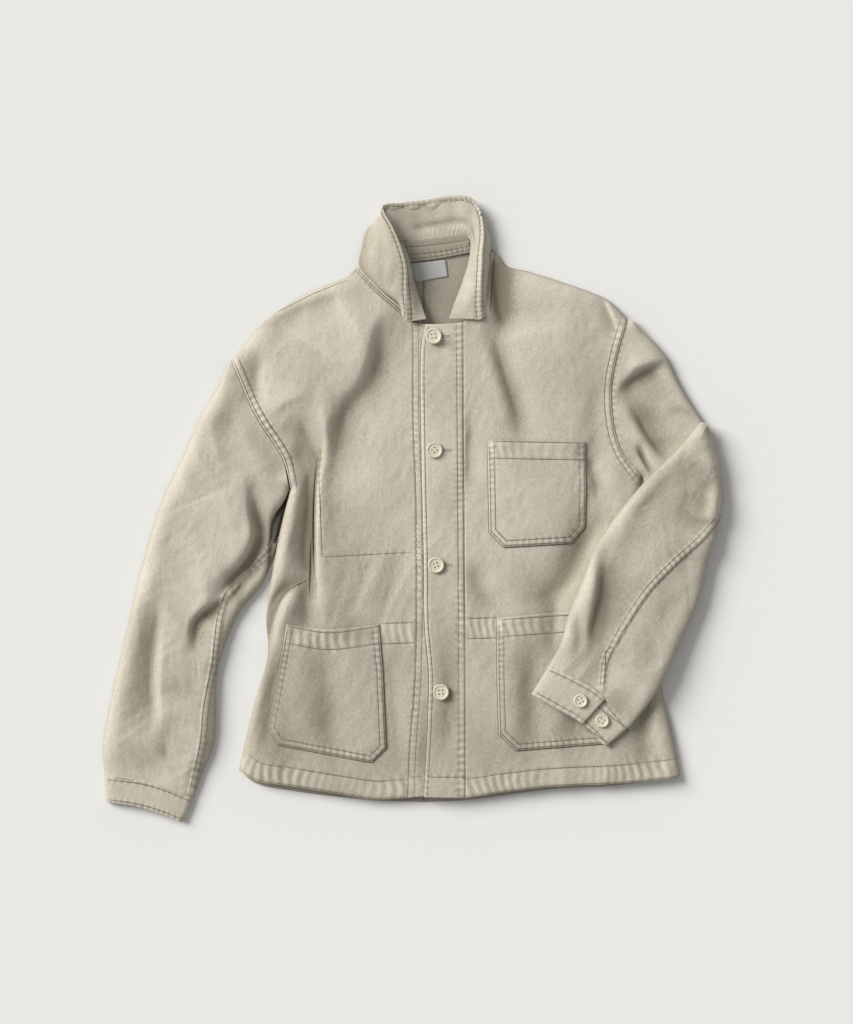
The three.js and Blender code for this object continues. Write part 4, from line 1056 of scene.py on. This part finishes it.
BETWEEN_ROWS = 12
foot, edge_line, inner_foot = [along_rows(line, BETWEEN_ROWS) for line in zip(*collar_stations)]
runs = np.r_[0, np.cumsum(np.linalg.norm(np.diff(edge_line, axis=0), axis=1))]
OUT_STEPS, IN_STEPS = 24, 24
COLLAR_WALL = 1.7
COLLAR_STITCH = 5.5  # from the edge to its row of stitches
upper, lower, collar_wear_and_shade = [], [], []
collar_needles = [[], []]
collar_wave = np.random.default_rng(91).uniform(0, math.tau, 6)
for k, (o, e, n) in enumerate(zip(foot, edge_line, inner_foot)):
    s = runs[k]
    out_share = np.linspace(0, 1, OUT_STEPS + 1)
    in_share = np.linspace(0, 1, IN_STEPS + 1)[1:]
    outer_wall = o + (e - o) * out_share[:, None]
    inner_wall = e + (n - e) * in_share[:, None]
    outer_size, inner_size = np.linalg.norm(e - o), np.linalg.norm(n - e)
    outer_wall[:, 2] = o[2] + (e[2] - o[2]) * (1 - (1 - out_share) ** 2.1)
    outer_wall[:, 2] += 0.9 * math.sin(s / 26 + collar_wave[0]) * np.sin(math.pi * out_share)
    swell = 0.02 * inner_size + 1.3 * math.sin(s / 19 + collar_wave[1])
    inner_wall[:, 2] += swell * np.sin(math.pi * in_share)
    d = np.r_[(1 - out_share) * outer_size, in_share * inner_size]
    draw = 0.55 * np.cos(math.tau * s / 6.4 + 1.6 * math.sin(s / 23)) * np.exp(-((d - 4) / 4.5) ** 2)
    groove = -0.55 * np.exp(-((d - COLLAR_STITCH) / 1.5) ** 2)
    share = k / (len(foot) - 1)
    back = ease((share - 0.42) / 0.08) * ease((0.78 - share) / 0.08)
    gathers = (0.45 * np.cos(math.tau * s / 5.2 + 3.0 * math.sin(s / 9))
               * ease((in_share - 0.62) / 0.12) * ease((1 - in_share) / 0.1))
    wrinkle = -2.2 * np.exp(-(((in_share - 0.64 + 0.25 * (share - 0.6)) / 0.09) ** 2))
    crumple = 1.2 * ripples(inner_wall[:, 0], inner_wall[:, 1], 26, 92)
    inner_wall[:, 2] += back * (gathers + wrinkle) + crumple * np.sin(math.pi * in_share)
    outer_crumple = 1.6 * ripples(outer_wall[:, 0], outer_wall[:, 1], 22, 93)
    outer_wall[:, 2] += outer_crumple * np.sin(math.pi * out_share) ** 2
    line = np.vstack([outer_wall, inner_wall])
    line[:, 2] += draw + groove
    level = (n - o)[:2] / max(np.linalg.norm((n - o)[:2]), 1e-6)
    flat = np.column_stack([(line[:, :2] - o[:2]) @ level, line[:, 2]])
    run = np.gradient(flat, axis=0)
    run /= np.maximum(np.linalg.norm(run, axis=1), 1e-6)[:, None]
    normal = np.column_stack([run[:, 1], -run[:, 0]])
    inner = line.copy()
    inner[:, :2] += COLLAR_WALL * normal[:, :1] * level
    inner[:, 2] += COLLAR_WALL * normal[:, 1]
    for row, wall in zip(collar_needles, (slice(0, OUT_STEPS + 1), slice(OUT_STEPS, None))):
        order = np.argsort(d[wall])
        row.append([np.interp(COLLAR_STITCH, d[wall][order], line[wall, axis][order]) for axis in range(3)])
    upper.append(line)
    lower.append(inner)
    # Painted shade over part of the leaf's outer side; the rest is paler where the edge rubs, with painted
    # shade along the stitch row and painted light and shade on the puckers.
    shaded = -1.1 * np.exp(-((share - 0.22) / 0.2) ** 2) * np.r_[np.ones(OUT_STEPS + 1), np.zeros(IN_STEPS)]
    collar_wear_and_shade.append(0.6 * np.exp(-d / 2.2) - 0.6 * np.exp(-((d - COLLAR_STITCH) / 1.6) ** 2)
                       + 1.3 * draw + shaded)
piece = closed_cloth("collar_leaf", np.array(upper[::-1]), np.array(lower[::-1]), np.array(collar_wear_and_shade[::-1]))
finish_cloth(piece, outside_twill, "collar")
# Painted shade along the collar's row of stitches.
painted_shade_lines("needle_collar", [np.array(row)[2:-2] for row in collar_needles], None, 0.3, half=0.6)

# The buttonholes.
# Each is a slit worked all round with close stitches of cotton, running out from under
# its button along the band.
front_buttons = [(27, 214), (28, 72), (30, -71), (36, -229)]


def buttonhole(name, x, y, length, height, across=1.5):
    """A worked slit: a row of close stitches down each side of the cut."""
    marks = [(t, side) for t in np.arange(0, length, 0.62) for side in (-1, 1)]
    one = ((0, 0.35, 0), (0.5, 0.35, 0), (0.5, across, 0), (0, across, 0), (0.25, across * 0.6, 0.45))
    points = np.array([(x + t + u, y + side * v, w) for t, side in marks for u, v, w in one])
    points[:, 2] += height(points[:, 0], points[:, 1])[0] + WALL + 0.55
    corners = ((0, 1, 4), (1, 2, 4), (2, 3, 4), (3, 0, 4), (3, 2, 1, 0))
    faces = [tuple(5 * k + c for c in corner) for k in range(len(marks)) for corner in corners]
    return made_of(name, points, faces, thread, soft=False)


for k, (x, y) in enumerate(front_buttons, 1):
    buttonhole(f"buttonhole_{k}", x + 4, y, 16, hole_band_up)

# The buttons.
# Four-hole buttons of cream resin, turned with a raised rim and a dished middle, sewn on
# with cotton. Each front button has a worked buttonhole running out from under it.
cuff_buttons = [(209, -239), (236, -264)]
BUTTON_THICK, HOLE, PITCH = 3.2, 1.9, 4.6
BUTTON_TURNS, DRILL_TURNS = 56, 16

resin = bpy.data.materials.new("cream_resin")
resin.use_nodes = True
resin_nodes, resin_links = resin.node_tree.nodes, resin.node_tree.links
resin_shader = resin_nodes["Principled BSDF"]
resin_shader.inputs["Roughness"].default_value = 0.42
resin_shader.inputs["Subsurface Weight"].default_value = 0.1
resin_shader.inputs["Subsurface Radius"].default_value = (0.002, 0.0015, 0.001)
swirl = resin_nodes.new("ShaderNodeTexNoise")
swirl.inputs["Scale"].default_value = 120
swirl.inputs["Detail"].default_value = 3
cream = resin_nodes.new("ShaderNodeMix")
cream.data_type = "RGBA"
cream.inputs["A"].default_value = (0.60, 0.53, 0.39, 1)
cream.inputs["B"].default_value = (0.76, 0.70, 0.56, 1)
resin_place = resin_nodes.new("ShaderNodeTexCoord")
resin_links.new(resin_place.outputs["Object"], swirl.inputs["Vector"])
resin_links.new(swirl.outputs["Fac"], cream.inputs["Factor"])
resin_links.new(cream.outputs["Result"], resin_shader.inputs["Base Color"])


def turned_button(across):
    """The mesh of one button: a turned disc with four drilled holes."""
    r = across / 2
    profile = [(0.0, 0.0), (r - 1.6, 0.0), (r - 0.5, 0.4), (r, 1.3), (r - 0.1, 2.3), (r - 0.6, 3.0),
               (r - 1.3, BUTTON_THICK), (r - 2.0, 3.0), (r - 2.7, 2.4), (r - 3.4, 2.15), (0.0, 2.1)]
    turns = BUTTON_TURNS
    points, faces = [], []
    for x, z in profile[1:-1]:
        for k in range(turns):
            points.append((x * math.cos(math.tau * k / turns), x * math.sin(math.tau * k / turns), z))
    rings = len(profile) - 2
    for i in range(rings - 1):
        for k in range(turns):
            a, b = i * turns + k, i * turns + (k + 1) % turns
            faces.append((a, b, b + turns, a + turns))
    faces.append(tuple(range(turns))[::-1])
    faces.append(tuple((rings - 1) * turns + k for k in range(turns)))
    mesh = bpy.data.meshes.new("button_blank")
    mesh.from_pydata([tuple(c * MM for c in p) for p in points], [], faces)
    blank = bpy.data.objects.new("button_blank", mesh)
    bpy.context.scene.collection.objects.link(blank)
    drill_points, drill_faces = [], []
    for sx, sy in ((1, 1), (1, -1), (-1, -1), (-1, 1)):
        start = len(drill_points)
        for z in (-2, 6):
            for k in range(DRILL_TURNS):
                turn = math.tau * k / DRILL_TURNS
                drill_points.append(((sx * PITCH / 2 + HOLE / 2 * math.cos(turn)) * MM,
                                     (sy * PITCH / 2 + HOLE / 2 * math.sin(turn)) * MM, z * MM))
        low = [start + k for k in range(DRILL_TURNS)]
        high = [k + DRILL_TURNS for k in low]
        drill_faces += list(zip(low, low[1:] + low[:1], high[1:] + high[:1], high))
        drill_faces += [tuple(low[::-1]), tuple(high)]
    drill_mesh = bpy.data.meshes.new("drills")
    drill_mesh.from_pydata(drill_points, [], drill_faces)
    drills = bpy.data.objects.new("drills", drill_mesh)
    bpy.context.scene.collection.objects.link(drills)
    cut = blank.modifiers.new("holes", "BOOLEAN")
    cut.object = drills
    cut.operation = "DIFFERENCE"
    cut.solver = "EXACT"
    drilled = bpy.data.meshes.new_from_object(blank.evaluated_get(bpy.context.evaluated_depsgraph_get()))
    bpy.data.objects.remove(blank)
    bpy.data.objects.remove(drills)
    drilled.materials.clear()
    drilled.materials.append(resin)
    return drilled


def sew_button(name, node, mesh, x, y, up, tilt, turn):
    """A button turned and tilted as it hangs on its thread, at a place in millimetres."""
    button = bpy.data.objects.new(name, mesh.copy())
    bpy.context.scene.collection.objects.link(button)
    a, b = math.radians(tilt[0]), math.radians(tilt[1])
    spin = math.radians(turn)
    points = np.array([v.co for v in button.data.vertices])
    c, s = math.cos(spin), math.sin(spin)
    points = points @ np.array([[c, s, 0], [-s, c, 0], [0, 0, 1]])
    points[:, 2] += points[:, 0] * math.tan(a) + points[:, 1] * math.tan(b)
    points += ((x - LAY[0]) * MM, (y - LAY[1]) * MM, up * MM)
    button.data.vertices.foreach_set("co", points.ravel())
    button.data.update()
    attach(button, "root")
    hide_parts(node)


front_blank = turned_button(20)
cuff_blank = turned_button(17)
tilts = [((1.5, -2.0), 8), ((-2.0, 1.0), 40), ((1.0, 2.0), 22), ((-1.5, -1.5), 5)]
around = np.array([(r * math.cos(a), r * math.sin(a))
                   for r in (0, 5, 9.5) for a in np.linspace(0, math.tau, 12)])
for k, ((x, y), (tilt, turn)) in enumerate(zip(front_buttons, tilts), 1):
    up = (hole_band_up(x + around[:, 0], y + around[:, 1])[0]).max() + WALL + 0.4 + 0.5
    sew_button(f"resin_button_{k}", f"button_{k}", front_blank, x, y, up, tilt, turn)
for k, ((x, y), up) in enumerate(zip(cuff_buttons, (30.0, 25.6)), 1):
    sew_button(f"resin_cuff_button_{k}", f"cuff_button_{k}", cuff_blank, x, y, up, (2.0, -1.5), 30 * k)
bpy.data.meshes.remove(front_blank)
bpy.data.meshes.remove(cuff_blank)
